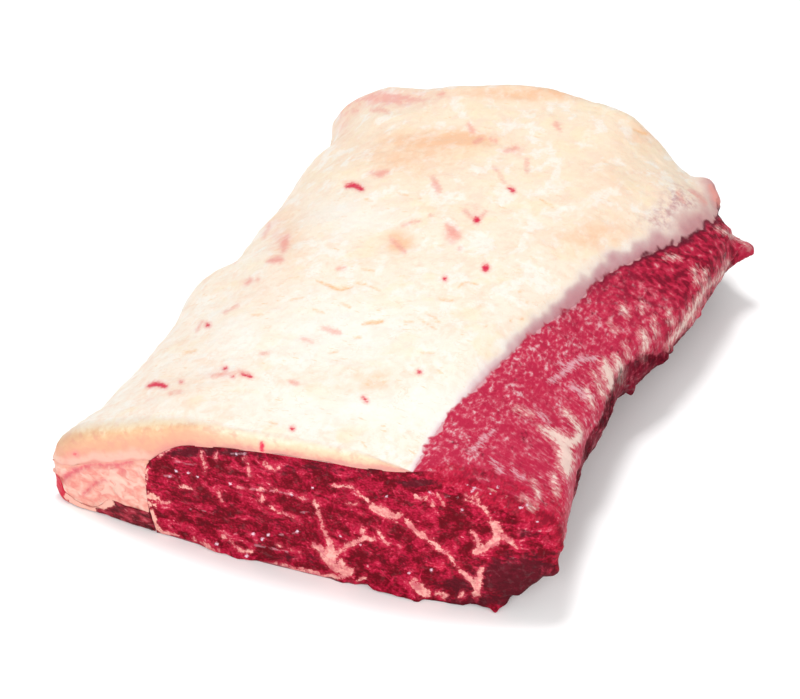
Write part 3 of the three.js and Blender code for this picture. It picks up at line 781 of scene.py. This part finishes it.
class Graph:
    """A material made of nodes. Coordinates are millimetres of the object."""

    def __init__(self, name):
        self.material = bpy.data.materials.new(name)
        self.material.use_nodes = True
        self.tree = self.material.node_tree
        self.tree.nodes.clear()
        place_node = self.node("ShaderNodeTexCoord")
        self.mm = self.stretch(place_node.outputs["Object"], (1000, 1000, 1000))

    def node(self, kind, sockets=None, **settings):
        made = self.tree.nodes.new(kind)
        for key, value in settings.items():
            setattr(made, key, value)
        for key, value in (sockets or {}).items():
            self.feed(made.inputs[key], value)
        return made

    def feed(self, socket, value):
        if isinstance(value, bpy.types.NodeSocket):
            self.tree.links.new(value, socket)
        else:
            socket.default_value = value

    def attribute(self, name):
        return self.node("ShaderNodeAttribute", attribute_name=name).outputs["Fac"]

    def stretch(self, vector, by):
        return self.node("ShaderNodeVectorMath", {0: vector, 1: by}, operation="MULTIPLY").outputs[0]

    def join(self, x, y, z=0.0):
        return self.node("ShaderNodeCombineXYZ", {0: x, 1: y, 2: z}).outputs[0]

    def split(self, vector):
        return self.node("ShaderNodeSeparateXYZ", {0: vector}).outputs

    def noise(self, vector, size, detail=2.0, roughness=0.5, distortion=0.0):
        made = self.node("ShaderNodeTexNoise", {"Vector": vector, "Scale": 1.0 / size, "Detail": detail,
                                                "Roughness": roughness, "Distortion": distortion})
        return made.outputs["Fac"]

    def cells(self, vector, size, feature="DISTANCE_TO_EDGE"):
        made = self.node("ShaderNodeTexVoronoi", {"Vector": vector, "Scale": 1.0 / size}, feature=feature)
        return made.outputs["Distance"]

    def math(self, operation, a, b=0.0):
        return self.node("ShaderNodeMath", {0: a, 1: b}, operation=operation).outputs[0]

    def step(self, value, low, high, start=0.0, end=1.0):
        made = self.node("ShaderNodeMapRange", {0: value, 1: low, 2: high, 3: start, 4: end},
                         interpolation_type="SMOOTHSTEP")
        return made.outputs[0]

    def times(self, *values):
        out = values[0]
        for value in values[1:]:
            out = self.math("MULTIPLY", out, value)
        return out

    def plus(self, *values):
        out = values[0]
        for value in values[1:]:
            out = self.math("ADD", out, value)
        return out

    def mix(self, share, a, b):
        made = self.node("ShaderNodeMix", data_type="RGBA")
        self.feed(made.inputs[0], share)
        self.feed(made.inputs[6], a if isinstance(a, bpy.types.NodeSocket) else (*a, 1))
        self.feed(made.inputs[7], b if isinstance(b, bpy.types.NodeSocket) else (*b, 1))
        return made.outputs[2]

    def ramp(self, value, stops):
        made = self.node("ShaderNodeValToRGB", {"Fac": value})
        elements = made.color_ramp.elements
        while len(elements) < len(stops):
            elements.new(0.5)
        for element, (position, color) in zip(elements, stops):
            element.position = position
            element.color = (*color, 1)
        return made.outputs[0]

    def wobble(self, vector, size, amount, detail=3.0):
        """Noise centred on 0, for borders that waver by about amount."""
        return self.times(self.math("SUBTRACT", self.noise(vector, size, detail, 0.65), 0.5), 4 * amount)

    def finish(self, color, roughness, height, bump_mm, subsurface=0.0, shine=0.5, upright=0.0, gain=1.0):
        """Colours are as the photograph shows them. They are divided by the studio light that falls on a flat
        top, on an upright face, or on the rounded edge between the two."""
        edge = self.times(upright, self.math("SUBTRACT", 1.0, upright))
        light = self.plus(TOP_LIGHT, self.times(FRONT_LIGHT - TOP_LIGHT, upright), self.times(EDGE_LIGHT, edge))
        share = self.math("DIVIDE", gain, light)
        painted = self.stretch(color, self.join(share, share, share))
        raised = self.node("ShaderNodeBump", {"Height": height, "Strength": 1.0, "Distance": bump_mm * MM})
        shader = self.node("ShaderNodeBsdfPrincipled", {
            "Base Color": painted, "Roughness": roughness, "Normal": raised.outputs[0], "IOR": 1.4,
            "Subsurface Weight": subsurface, "Subsurface Radius": (1.0, 0.5, 0.35), "Subsurface Scale": 0.003,
            "Specular IOR Level": shine})
        out = self.node("ShaderNodeOutputMaterial")
        self.tree.links.new(shader.outputs[0], out.inputs[0])
        return self.material


TOP_LIGHT = 1.43
FRONT_LIGHT = 1.09
EDGE_LIGHT = 1.2
FAT_GAIN = 0.985  # light lost in the relief of the fat
# The cut lean from its darkest cells to its pale flecks, by share of tone.
CUT_RAMP = [(0.43, (0.130, 0.004, 0.010)), (0.485, (0.21, 0.005, 0.017)), (0.530, (0.31, 0.007, 0.027)),
            (0.580, (0.43, 0.010, 0.043)), (0.640, (0.55, 0.023, 0.068)), (0.690, (0.63, 0.10, 0.14)),
            (0.745, (0.76, 0.31, 0.34))]
# The dark purple of the painted shade on the cut.
CUT_SHADE_PURPLE = (0.075, 0.008, 0.014)
# Freshly opened lean on the rolled edges of the cut.
FRESH_RAMP = [(0.40, (0.33, 0.012, 0.034)), (0.50, (0.56, 0.014, 0.048)), (0.58, (0.66, 0.030, 0.080)),
              (0.66, (0.76, 0.16, 0.22))]
HALO_RED = (0.52, 0.035, 0.072)
SEAM_RAMP = [(0.36, (0.68, 0.19, 0.22)), (0.50, (0.80, 0.31, 0.29)), (0.62, (0.90, 0.47, 0.41))]
FINGER_FAT = (0.92, 0.48, 0.39)
FLANK_RAMP = [(0.41, (0.54, 0.026, 0.074)), (0.505, (0.60, 0.048, 0.100)), (0.565, (0.645, 0.095, 0.150)),
              (0.64, (0.71, 0.22, 0.27)), (0.72, (0.80, 0.43, 0.47))]
FAR_RAMP = [(0.39, (0.22, 0.010, 0.028)), (0.47, (0.38, 0.014, 0.042)), (0.555, (0.53, 0.022, 0.064)),
            (0.625, (0.60, 0.040, 0.090)), (0.70, (0.67, 0.14, 0.18)), (0.78, (0.77, 0.33, 0.35))]
DARK_LINE = (0.13, 0.014, 0.030)
NEAR_SKIN = (0.72, 0.36, 0.40)
FAR_SKIN = (0.60, 0.29, 0.30)
CREAM = (0.93, 0.70, 0.62)
PINK_CREAM = (0.86, 0.42, 0.42)
SILVER = (0.80, 0.46, 0.52)
# Dark reds painted as shade on the lower side and the underside.
UNDERSIDE_SHADE_RAMP = [(0.42, (0.035, 0.002, 0.005)), (0.57, (0.13, 0.005, 0.014)), (0.70, (0.36, 0.03, 0.06))]


def bare_lean(g, p, shoulder):
    """Lean under the silver skin: pale grit near the fat, streaks down the slope lower on, coarse clumps at the
    far end."""
    x, y, z = g.split(p)
    down = g.math("SUBTRACT", x, g.times(z, 0.9))
    grit = g.noise(g.stretch(p, (0.9, 0.6, 0.9)), 1.9, 2.5, 0.58)
    streak = g.noise(g.join(g.times(down, 1 / 6.0), g.times(y, 1 / 1.7)), 1.0, 2.0, 0.55, 0.4)
    cloud = g.times(g.math("SUBTRACT", g.noise(p, 9, 3.0, 0.6), 0.5), 0.55)
    near_tone = g.plus(g.times(grit, g.math("SUBTRACT", 1.0, g.times(shoulder, 0.6))),
                       g.times(streak, shoulder, 0.7), g.times(shoulder, -0.07), cloud)
    slant = g.join(g.times(g.plus(down, g.times(y, 0.6)), 1 / 6.5), g.times(g.plus(y, g.times(down, -0.3)), 1 / 3.4))
    clump = g.noise(slant, 1.0, 1.5, 0.5, 0.4)
    far_tone = g.plus(g.times(clump, 0.86), g.times(grit, 0.16), cloud, -0.01)
    far_end = g.step(g.plus(y, g.wobble(p, 20, 25)), -30, 60)
    color = g.mix(far_end, g.ramp(near_tone, FLANK_RAMP), g.ramp(far_tone, FAR_RAMP))
    return color, far_end, near_tone, far_tone


def teeth(g, p):
    """How far the edge of the skin strays across the line where the fat was trimmed, in mm."""
    return g.plus(g.wobble(g.stretch(p, (0.35, 1.0, 0.35)), 1.6, 0.3, 1.0), g.wobble(p, 7, 1.9, 1.0))


def lean_material():
    g = Graph("lean_meat")
    p = g.mm
    x, y, z = g.split(p)
    cut = g.attribute("cut")
    side = g.math("SUBTRACT", 1.0, cut)
    shoulder = g.attribute("shoulder")
    # The cut: dark cells in a brighter net, layered along the tail side and rounder towards the chine.
    drift = g.node("ShaderNodeTexNoise", {"Vector": p, "Scale": 1 / 9, "Detail": 1.0}).outputs["Color"]
    bent = g.node("ShaderNodeVectorMath", {0: p, 1: g.stretch(drift, (10, 10, 10))}, operation="ADD").outputs[0]
    to_tail = g.step(x, 25, -45)
    round_net = g.step(g.cells(g.stretch(bent, (1, 0.4, 1.1)), 9.0), 0.13, 0.0)
    long_net = g.step(g.cells(g.stretch(bent, (0.42, 0.3, 1.6)), 7.5), 0.13, 0.0)
    net = g.plus(g.times(round_net, g.math("SUBTRACT", 1.0, to_tail)), g.times(long_net, to_tail))
    net = g.times(net, g.step(g.noise(p, 6, 2.0), 0.42, 0.58))
    grains = g.noise(g.stretch(p, (0.85, 0.4, 1.1)), 1.1, 2.0, 0.6)
    flecks = g.times(g.step(g.noise(g.stretch(p, (0.8, 0.4, 1.0)), 1.5, 1.0), 0.60, 0.72),
                     g.step(g.noise(p, 5, 2.0), 0.42, 0.60))
    bundles = g.noise(g.stretch(bent, (0.85, 0.4, 1.1)), 5.6, 2.5, 0.5)
    layers = g.noise(g.stretch(bent, (0.52, 0.3, 1.4)), 4.8, 2.5, 0.5)
    blotch = g.plus(g.times(bundles, g.math("SUBTRACT", 1.0, to_tail)), g.times(layers, to_tail))
    near_seam = g.step(g.attribute("seam"), 4.5, 0.5)
    tone = g.plus(g.times(net, 0.085), g.times(grains, 0.31), g.times(blotch, 0.53), g.times(g.noise(p, 11, 2.0), 0.18),
                  g.times(near_seam, 0.035), g.times(flecks, 0.09), -0.030)
    tone = g.plus(g.times(g.math("SUBTRACT", tone, 0.52), 1.12), 0.521)
    face = g.ramp(tone, CUT_RAMP)
    fresh = g.ramp(g.plus(g.times(grains, 0.5), g.times(blotch, 0.5)), FRESH_RAMP)
    painted_shade = g.plus(g.attribute("shade"), g.wobble(p, 5, 0.6), g.wobble(g.stretch(p, (0.5, 0.5, 1.4)), 2, 0.4))
    flank, far_end, near_tone, far_tone = bare_lean(g, p, shoulder)
    color = g.mix(g.step(g.plus(cut, g.wobble(p, 4, 0.12)), 0.02, 0.35), flank, face)
    color = g.mix(g.times(g.step(g.plus(g.attribute("red"), g.wobble(p, 4, 0.8)), 0.15, 0.95), 0.8), color, fresh)
    # Painted shade: the cut turns dark purple where the shade marks lie.
    color = g.mix(g.times(g.step(painted_shade, 0.25, 1.0), 0.88), color, CUT_SHADE_PURPLE)
    # Seams of fat in the cut, ragged and in places broken off, and fingers of the tail's fat beside them.
    ragged = g.plus(g.wobble(p, 3.4, 1.5, 3.0), g.wobble(g.stretch(p, (1, 0.3, 1)), 1.2, 0.5, 2.0))
    seam = g.plus(g.attribute("seam"), ragged)
    whole = g.step(g.noise(p, 6, 2.0), 0.34, 0.46, 0.62, 1.0)
    fat = g.mix(g.step(x, -73, -78), g.ramp(g.noise(p, 2.4, 3.0, 0.6), SEAM_RAMP), FINGER_FAT)
    color = g.mix(g.times(g.step(seam, 1.7, 0.0), 0.62), color, HALO_RED)
    color = g.mix(g.times(g.step(seam, 0.4, -0.5), 0.95, whole), color, fat)
    # Patches and bluish skin on the bare side, feathered down the slope.
    down = g.math("SUBTRACT", x, g.times(z, 0.9))
    feather = g.plus(g.wobble(g.join(g.times(down, 1 / 5.0), g.times(y, 1 / 1.6)), 1.0, 2.0, 2.0), g.wobble(p, 1.8, 0.8))
    skin = g.plus(g.attribute("skin"), g.times(feather, 1.3), 0.6)
    color = g.mix(g.times(g.step(skin, 1.6, -1.6), 0.75), color, SILVER)
    patch = g.plus(g.attribute("patch"), feather)
    color = g.mix(g.times(g.step(patch, 2.0, -0.2), 0.42), color, PINK_CREAM)
    color = g.mix(g.times(g.step(patch, 0.2, -1.9), 0.92), color, CREAM)
    # Painted shade: the lower edge and the underside darkened where they turn away from the light.
    low = g.plus(g.times(g.step(g.plus(g.attribute("side_shade"), g.wobble(p, 13, 4.0), g.wobble(p, 5, 2.4)), 2.0, -3.0),
                         g.step(g.noise(p, 14, 2.0), 0.38, 0.60, 0.68, 0.92)),
                 g.times(g.step(g.plus(g.attribute("under"), g.wobble(p, 5, 0.4)), 0.2, 0.8), 0.7))
    color = g.mix(g.math("MINIMUM", low, 0.92), color, g.ramp(g.noise(p, 3, 3.0, 0.6), UNDERSIDE_SHADE_RAMP))
    # Along the fat the skin ends in teeth, over a dark line at the far end.
    edge = g.plus(g.attribute("fringe"), teeth(g, p))
    color = g.mix(g.times(g.step(edge, 3.4, 0.6), 0.85, side, far_end), color, DARK_LINE)
    color = g.mix(g.times(g.step(edge, 0.5, -0.5), side), color, g.mix(far_end, NEAR_SKIN, FAR_SKIN))
    # Painted highlights: pale sheen lines and points of light on the wet cut.
    line = g.plus(g.attribute("line"), g.wobble(g.stretch(p, (0.4, 1, 1)), 2.2, 0.6))
    broken = g.step(g.noise(g.stretch(p, (1, 0.5, 1)), 3.4, 2.0), 0.44, 0.58)
    color = g.mix(g.times(g.step(line, 0.4, -0.4), broken, 0.36), color, (0.80, 0.42, 0.50))
    glint = g.plus(g.attribute("glint"), g.wobble(g.stretch(p, (0.6, 1, 1.2)), 0.8, 0.5))
    color = g.mix(g.step(glint, 0.45, -0.35, 0.0, 0.85), color, (0.96, 0.70, 0.84))
    height = g.plus(g.times(grains, 0.5), g.times(g.noise(p, 6.0, 2.0), 0.6))
    shine = g.times(g.plus(0.03, g.times(g.step(g.noise(p, 3, 2.0), 0.56, 0.66), 0.14)),
                    g.math("SUBTRACT", 1.0, g.math("MINIMUM", low, 0.92)))
    return g.finish(color, 0.38, height, 0.4, 0.0, shine, cut)


def cap_material():
    g = Graph("cap_fat")
    p = g.mm
    cut = g.attribute("cut")
    x, y, z = g.split(p)
    # Cream, whiter to the front and warmer to the back, in soft clouds.
    swirl = g.stretch(p, (1.05, 0.85, 1))
    warmth = g.step(g.plus(g.times(g.noise(p, 40, 3.0), 160), y), -50, 200)
    color = g.mix(warmth, (1.0, 0.915, 0.80), (1.0, 0.835, 0.645))
    cloud = g.noise(swirl, 8, 4.0, 0.58, 0.4)
    color = g.mix(g.times(g.step(cloud, 0.49, 0.64), 0.60), color, (0.99, 0.76, 0.61))
    color = g.mix(g.times(g.step(g.noise(swirl, 10, 3.0, 0.58, 0.3), 0.49, 0.62), 0.75), color, (1.0, 0.965, 0.89))
    color = g.mix(g.times(g.step(g.noise(p, 19, 3.0, 0.6), 0.52, 0.66), 0.5), color, (1.0, 0.84, 0.58))
    color = g.mix(g.times(g.step(g.noise(swirl, 3.2, 3.0, 0.58), 0.50, 0.68), 0.38), color, (0.98, 0.72, 0.56))
    grain = g.noise(p, 0.9, 1.0)
    color = g.mix(g.times(g.step(grain, 0.45, 0.75), 0.25), color, (0.985, 0.80, 0.66))
    color = g.mix(g.step(g.attribute("white"), 0.1, 1.0, 0.0, 0.65), color, (1.0, 0.965, 0.89))
    # Thin curved creases and flecks of amber.
    wisp = g.math("ABSOLUTE", g.math("SUBTRACT", g.noise(g.stretch(p, (0.55, 1.4, 1)), 8, 3.0, 0.55, 1.2), 0.5))
    wisp = g.times(g.step(wisp, 0.022, 0.0), g.step(g.noise(p, 9, 2.0), 0.50, 0.62))
    color = g.mix(g.times(wisp, 0.38), color, (0.96, 0.60, 0.42))
    fleck = g.times(g.step(g.noise(g.stretch(p, (0.5, 1.5, 1)), 2.8, 2.0), 0.63, 0.74), g.step(g.noise(p, 22, 2.0), 0.44, 0.60))
    color = g.mix(g.times(fleck, 0.6), color, (0.96, 0.62, 0.36))
    # Broad stains.
    stain = g.times(g.attribute("tan"), g.step(g.noise(swirl, 7, 3.0, 0.6), 0.35, 0.62, 0.65, 1.15))
    color = g.mix(g.step(stain, 0.03, 0.95, 0.0, 0.97), color, (0.97, 0.60, 0.38))
    rosy = g.times(g.attribute("pink"), g.step(g.noise(p, 4, 3.0, 0.6), 0.38, 0.62, 0.7, 1.15))
    color = g.mix(g.step(rosy, 0.05, 1.1, 0.0, 0.85), color, (0.93, 0.44, 0.38))
    grey = g.times(g.attribute("mauve"), g.step(g.noise(p, 5, 3.0, 0.65), 0.36, 0.62, 0.45, 1.15))
    color = g.mix(g.step(grey, 0.05, 0.9, 0.0, 0.92), color, g.ramp(g.noise(p, 3.5, 3.0, 0.6), [
        (0.40, (0.62, 0.36, 0.36)), (0.52, (0.78, 0.56, 0.52)), (0.62, (0.90, 0.76, 0.68))]))
    # The trimmed edge thins to a mauve skin over the lean, which shows between its teeth.
    rim = g.plus(g.attribute("rim"), g.wobble(p, 12, 0.3, 1.0), g.wobble(p, 2.6, 0.04, 1.0))
    skin = g.ramp(rim, [(0.0, (0.59, 0.27, 0.30)), (0.3, (0.62, 0.34, 0.36)), (0.6, (0.70, 0.48, 0.47)),
                        (0.9, (0.87, 0.74, 0.69))])
    pale = g.ramp(rim, [(0.0, NEAR_SKIN), (0.3, (0.87, 0.68, 0.69)), (0.8, (0.98, 0.88, 0.85))])
    skin = g.mix(g.step(y, -110, -20), pale, skin)
    skin = g.mix(g.step(y, 40, 110), skin, g.ramp(rim, [(0.0, FAR_SKIN), (0.3, (0.70, 0.41, 0.39)),
                                                       (0.8, (0.86, 0.66, 0.57))]))
    color = g.mix(g.step(rim, 1.35, 0.45), color, skin)
    lean, far_end, _, _ = bare_lean(g, p, 0.0)
    gap = g.math("SUBTRACT", g.attribute("gap"), teeth(g, p))
    lean = g.mix(g.times(g.step(gap, -3.4, -0.6), 0.85, far_end), lean, DARK_LINE)
    color = g.mix(g.times(g.step(gap, 0.9, -0.7), g.math("SUBTRACT", 1.0, cut)), color, lean)
    # The cut band: cream at the rounded top, peach below, rosy at the seam; paler towards the chine.
    inner = g.plus(g.attribute("seamward"), g.wobble(p, 7, 0.16), g.wobble(p, 2.5, 0.06))
    left = g.ramp(inner, [(0.0, (0.93, 0.74, 0.50)), (0.18, (0.85, 0.54, 0.32)), (0.42, (0.80, 0.43, 0.27)),
                          (0.68, (0.78, 0.39, 0.265)), (0.95, (0.76, 0.30, 0.25))])
    right = g.ramp(inner, [(0.1, (0.93, 0.84, 0.69)), (0.45, (0.87, 0.67, 0.46)), (0.75, (0.82, 0.52, 0.36)),
                           (0.97, (0.72, 0.33, 0.28))])
    band = g.mix(g.step(x, -70, -10), left, right)
    fold = g.plus(g.attribute("seamward"), g.wobble(p, 12, 0.12, 1.0))
    hem = g.times(g.step(fold, 0.60, 0.82), g.step(fold, 1.0, 0.90), g.step(x, -72, -84))
    band = g.mix(g.times(hem, 0.55), band, (0.86, 0.60, 0.49))
    band = g.mix(g.times(g.step(g.noise(p, 5, 3.0), 0.5, 0.66), 0.35), band, (0.79, 0.34, 0.26))
    color = g.mix(g.step(cut, 0.15, 0.85), color, band)
    color = g.mix(g.times(g.step(rosy, 0.1, 1.0), g.step(cut, 0.2, 0.8), 0.75), color, (0.86, 0.28, 0.25))
    # Small marks, each with a soft border.
    # Amber nicks, and painted shade in a few small pits, both in amber.
    nick_and_pit_shade = g.plus(g.attribute("nick_and_pit_shade"), g.wobble(p, 1.8, 0.5))
    color = g.mix(g.step(nick_and_pit_shade, 0.9, -1.1, 0.0, 0.85), color, (0.94, 0.50, 0.22))
    blush = g.plus(g.attribute("blush"), g.wobble(p, 2.2, 0.9))
    color = g.mix(g.step(blush, 1.6, -1.6, 0.0, 0.75), color, (0.90, 0.38, 0.32))
    blood = g.plus(g.attribute("blood"), g.wobble(p, 1.4, 0.6))
    color = g.mix(g.step(blood, 2.2, -0.2, 0.0, 0.6), color, (0.90, 0.32, 0.30))
    color = g.mix(g.step(blood, 0.8, -0.6, 0.0, 0.97), color, (0.74, 0.012, 0.070))
    height = g.plus(g.times(cloud, 1.0), g.times(g.noise(swirl, 3.2, 3.0, 0.6), 0.45), g.times(grain, 0.06))
    gloss = g.step(g.noise(p, 9, 2.0), 0.3, 0.7, 0.34, 0.56)
    return g.finish(color, gloss, height, 0.25, 0.08, 0.25, cut, FAT_GAIN)


def soft_fat_material():
    g = Graph("tail_fat")
    p = g.mm
    cut = g.attribute("cut")
    lump = g.stretch(p, (1, 0.3, 1.3))
    curd = g.noise(lump, 5.0, 2.5, 0.55, 0.4)
    color = g.ramp(curd, [(0.36, (0.87, 0.31, 0.26)), (0.46, (0.90, 0.40, 0.325)), (0.56, (0.92, 0.48, 0.39)),
                          (0.66, (0.95, 0.58, 0.48))])
    lobes = g.noise(lump, 8.5, 1.5, 0.5, 0.6)
    # Painted highlight: the tops of the raised lobes are paler.
    color = g.mix(g.times(g.step(lobes, 0.53, 0.62), 0.6), color, (0.96, 0.68, 0.56))
    crack = g.math("ABSOLUTE", g.math("SUBTRACT", lobes, 0.53))
    color = g.mix(g.times(g.step(crack, 0.022, 0.0), g.step(g.noise(p, 6, 2.0), 0.42, 0.58), 0.6), color, (0.82, 0.24, 0.22))
    inner = g.plus(g.attribute("seamward"), g.wobble(p, 5, 0.16))
    color = g.mix(g.step(inner, 0.82, 0.99), color, (0.90, 0.44, 0.33))
    crease = g.plus(g.attribute("crease"), g.wobble(p, 2.6, 0.9))
    color = g.mix(g.step(crease, 2.4, -0.4, 0.0, 0.6), color, (0.84, 0.24, 0.24))
    color = g.mix(g.step(crease, 0.6, -1.0, 0.0, 0.75), color, (0.78, 0.13, 0.17))
    # On the tail's side, lean shows through along the lower border.
    below = g.plus(g.math("SUBTRACT", 18.0, g.split(p)[2]), g.wobble(g.stretch(p, (1, 0.5, 1)), 9, 5.0, 3.0))
    color = g.mix(g.times(g.step(below, 0.0, 2.0), g.math("SUBTRACT", 1.0, cut), 0.9), color, (0.33, 0.02, 0.035))
    height = g.plus(g.times(lobes, 2.2), g.times(g.noise(p, 4, 2.0), 0.5))
    return g.finish(color, 0.42, height, 0.9, 0.06, 0.2, 1.0, 0.89)


def tail_lean_material():
    g = Graph("tail_meat")
    p = g.mm
    x, y, z = g.split(p)
    color = g.ramp(g.noise(g.stretch(p, (0.7, 0.5, 1.3)), 4.5, 3.0, 0.62), [
        (0.38, (0.085, 0.004, 0.008)), (0.50, (0.20, 0.010, 0.022)), (0.60, (0.36, 0.024, 0.045)), (0.68, (0.50, 0.07, 0.10))])
    color = g.mix(g.times(g.step(g.noise(g.stretch(p, (0.6, 0.3, 1.4)), 2.2, 2.5), 0.60, 0.74), 0.4), color, (0.74, 0.26, 0.28))
    bright = g.times(g.step(x, -122, -130), g.step(g.plus(y, g.wobble(p, 8, 12)), -118, -140))
    color = g.mix(bright, color, (0.60, 0.014, 0.045))
    fat = g.plus(g.attribute("fat"), g.wobble(p, 2.2, 0.9))
    color = g.mix(g.step(fat, 0.5, -0.5), color, FINGER_FAT)
    above = g.plus(g.math("SUBTRACT", z, 12.0), g.wobble(g.stretch(p, (1, 0.5, 1)), 9, 5.0, 3.0))
    streaks = g.times(g.step(above, 0.0, 2.0), g.step(x, -95, -110), g.math("SUBTRACT", 1.0, g.attribute("cut")))
    color = g.mix(g.times(streaks, 0.8), color, (0.88, 0.40, 0.34))
    return g.finish(color, 0.36, g.noise(p, 2.5, 3.0), 0.6, 0.0, 0.14, 1.0)


def seamward(piece, most=1.0):
    """0 at the cap's outside, 1 at its underside, on the cut faces."""
    x, y, z = piece.verts.T
    section = unwarp(x, y)
    tail = lerp(TAIL_X, WALL_X, (x - through(TAIL_EDGE, y)) / (through(WALL_EDGE, y) - through(TAIL_EDGE, y)))
    section = np.where(section < WALL_X, tail, section)
    outside = np.where(section < -82, through(sorted(TAIL_OUTSIDE), section), through(CAP_TOP, section))
    underside = np.where(section < -79.5, through(TAIL_SEAM, section), eye_top(section))
    return np.clip((outside - z) / np.maximum(outside - underside, 1), 0, most)


x, y, z = eye.verts.T
shoulder = ease(14, 40, from_fat) * ease(20, 40, z)
eye_attributes = {"cut": eye.cut, "seam": seams, "patch": patches, "skin": skin, "shade": shade, "red": glow_red,
                  "under": underside, "side_shade": shaded_side, "glint": glints, "line": sheen_lines, "fringe": fringe, "ring": eye.ring, "shoulder": shoulder}
cap_attributes = {"cut": cap.cut, "blood": blood, "nick_and_pit_shade": nicks_and_pit_shade, "blush": blush, "tan": tan, "pink": pink, "white": white,
                  "mauve": mauve, "gap": np.clip(rim_gap, -5, 20), "rim": np.clip(rim_gap / through(RIM_WIDTH, cap.verts[:, 1]), -0.2, 3),
                  "seamward": seamward(cap)}
BUILD = [
    ("eye_muscle", eye, "loin_eye", "lean", eye_attributes, lean_material()),
    ("cap_fat_layer", cap, "fat_cap", "cap_fat", cap_attributes, cap_material()),
    ("tail_fat_wedge", tail_fat, "tail_fat", "soft_fat", {"crease": creases, "seamward": 2 - seamward(tail_fat, 2.0),
     "cut": tail_fat.cut}, soft_fat_material()),
    ("tail_lean_strip", tail_lean, "tail_lean", "tail_lean", {"fat": lean_fat, "cut": tail_lean.cut}, tail_lean_material()),
]
for name, piece, node, slot, attributes, material in BUILD:
    obj = to_object(piece, name, attributes, material)
    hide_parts(node)
    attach(obj, "root")

# ---------------------------------------------------------------- floor, light and camera

FLOOR_SIZE = 6.0
floor_mesh = bpy.data.meshes.new("floor")
half = FLOOR_SIZE / 2
floor_mesh.from_pydata([(-half, -half, 0), (half, -half, 0), (half, half, 0), (-half, half, 0)], [], [(0, 1, 2, 3)])
floor = bpy.data.objects.new("floor", floor_mesh)
floor.location.z = -0.0002
bpy.context.scene.collection.objects.link(floor)
paper = Graph("floor_paper")
tint = paper.mix(paper.step(paper.noise(paper.mm, 300, 2.0), 0.4, 0.6), (1.34, 1.34, 1.34), (1.36, 1.36, 1.36))
floor_mesh.materials.append(paper.finish(tint, 0.9, paper.noise(paper.mm, 2.0), 0.02, 0.0, 0.1))

world = bpy.data.worlds.new("studio")
bpy.context.scene.world = world
world.use_nodes = True
world.node_tree.nodes["Background"].inputs[0].default_value = (1.0, 0.99, 0.98, 1)
world.node_tree.nodes["Background"].inputs[1].default_value = 0.55


def softbox(name, location, size, power):
    lamp = bpy.data.lights.new(name, "AREA")
    lamp.shape = "RECTANGLE"
    lamp.size, lamp.size_y = size
    lamp.energy = power
    obj = bpy.data.objects.new(name, lamp)
    obj.location = location
    obj.rotation_euler = (Vector((0, 0, 0.03)) - Vector(location)).to_track_quat("-Z", "Y").to_euler()
    bpy.context.scene.collection.objects.link(obj)


softbox("key_light", (-0.14, 0.10, 1.6), (0.4, 0.4), 14)
softbox("front_light", (0.35, -1.45, 0.95), (1.1, 0.8), 15)
softbox("tail_light", (-1.35, 0.25, 0.85), (1.0, 0.8), 5)
softbox("chine_light", (1.35, -0.45, 0.95), (1.0, 0.8), 5)

camera_data = bpy.data.cameras.new("camera")
camera_data.sensor_width = 36.0
camera_data.lens = FOCAL_PIXELS * 36.0 / PHOTO_WIDTH
camera_data.clip_end = 20.0
camera = bpy.data.objects.new("camera", camera_data)
camera.location = EYE_POINT * MM
camera.rotation_euler = Vector(-BACK).to_track_quat("-Z", "Y").to_euler()
bpy.context.scene.collection.objects.link(camera)
bpy.context.scene.camera = camera
bpy.context.scene.view_settings.view_transform = "Standard"
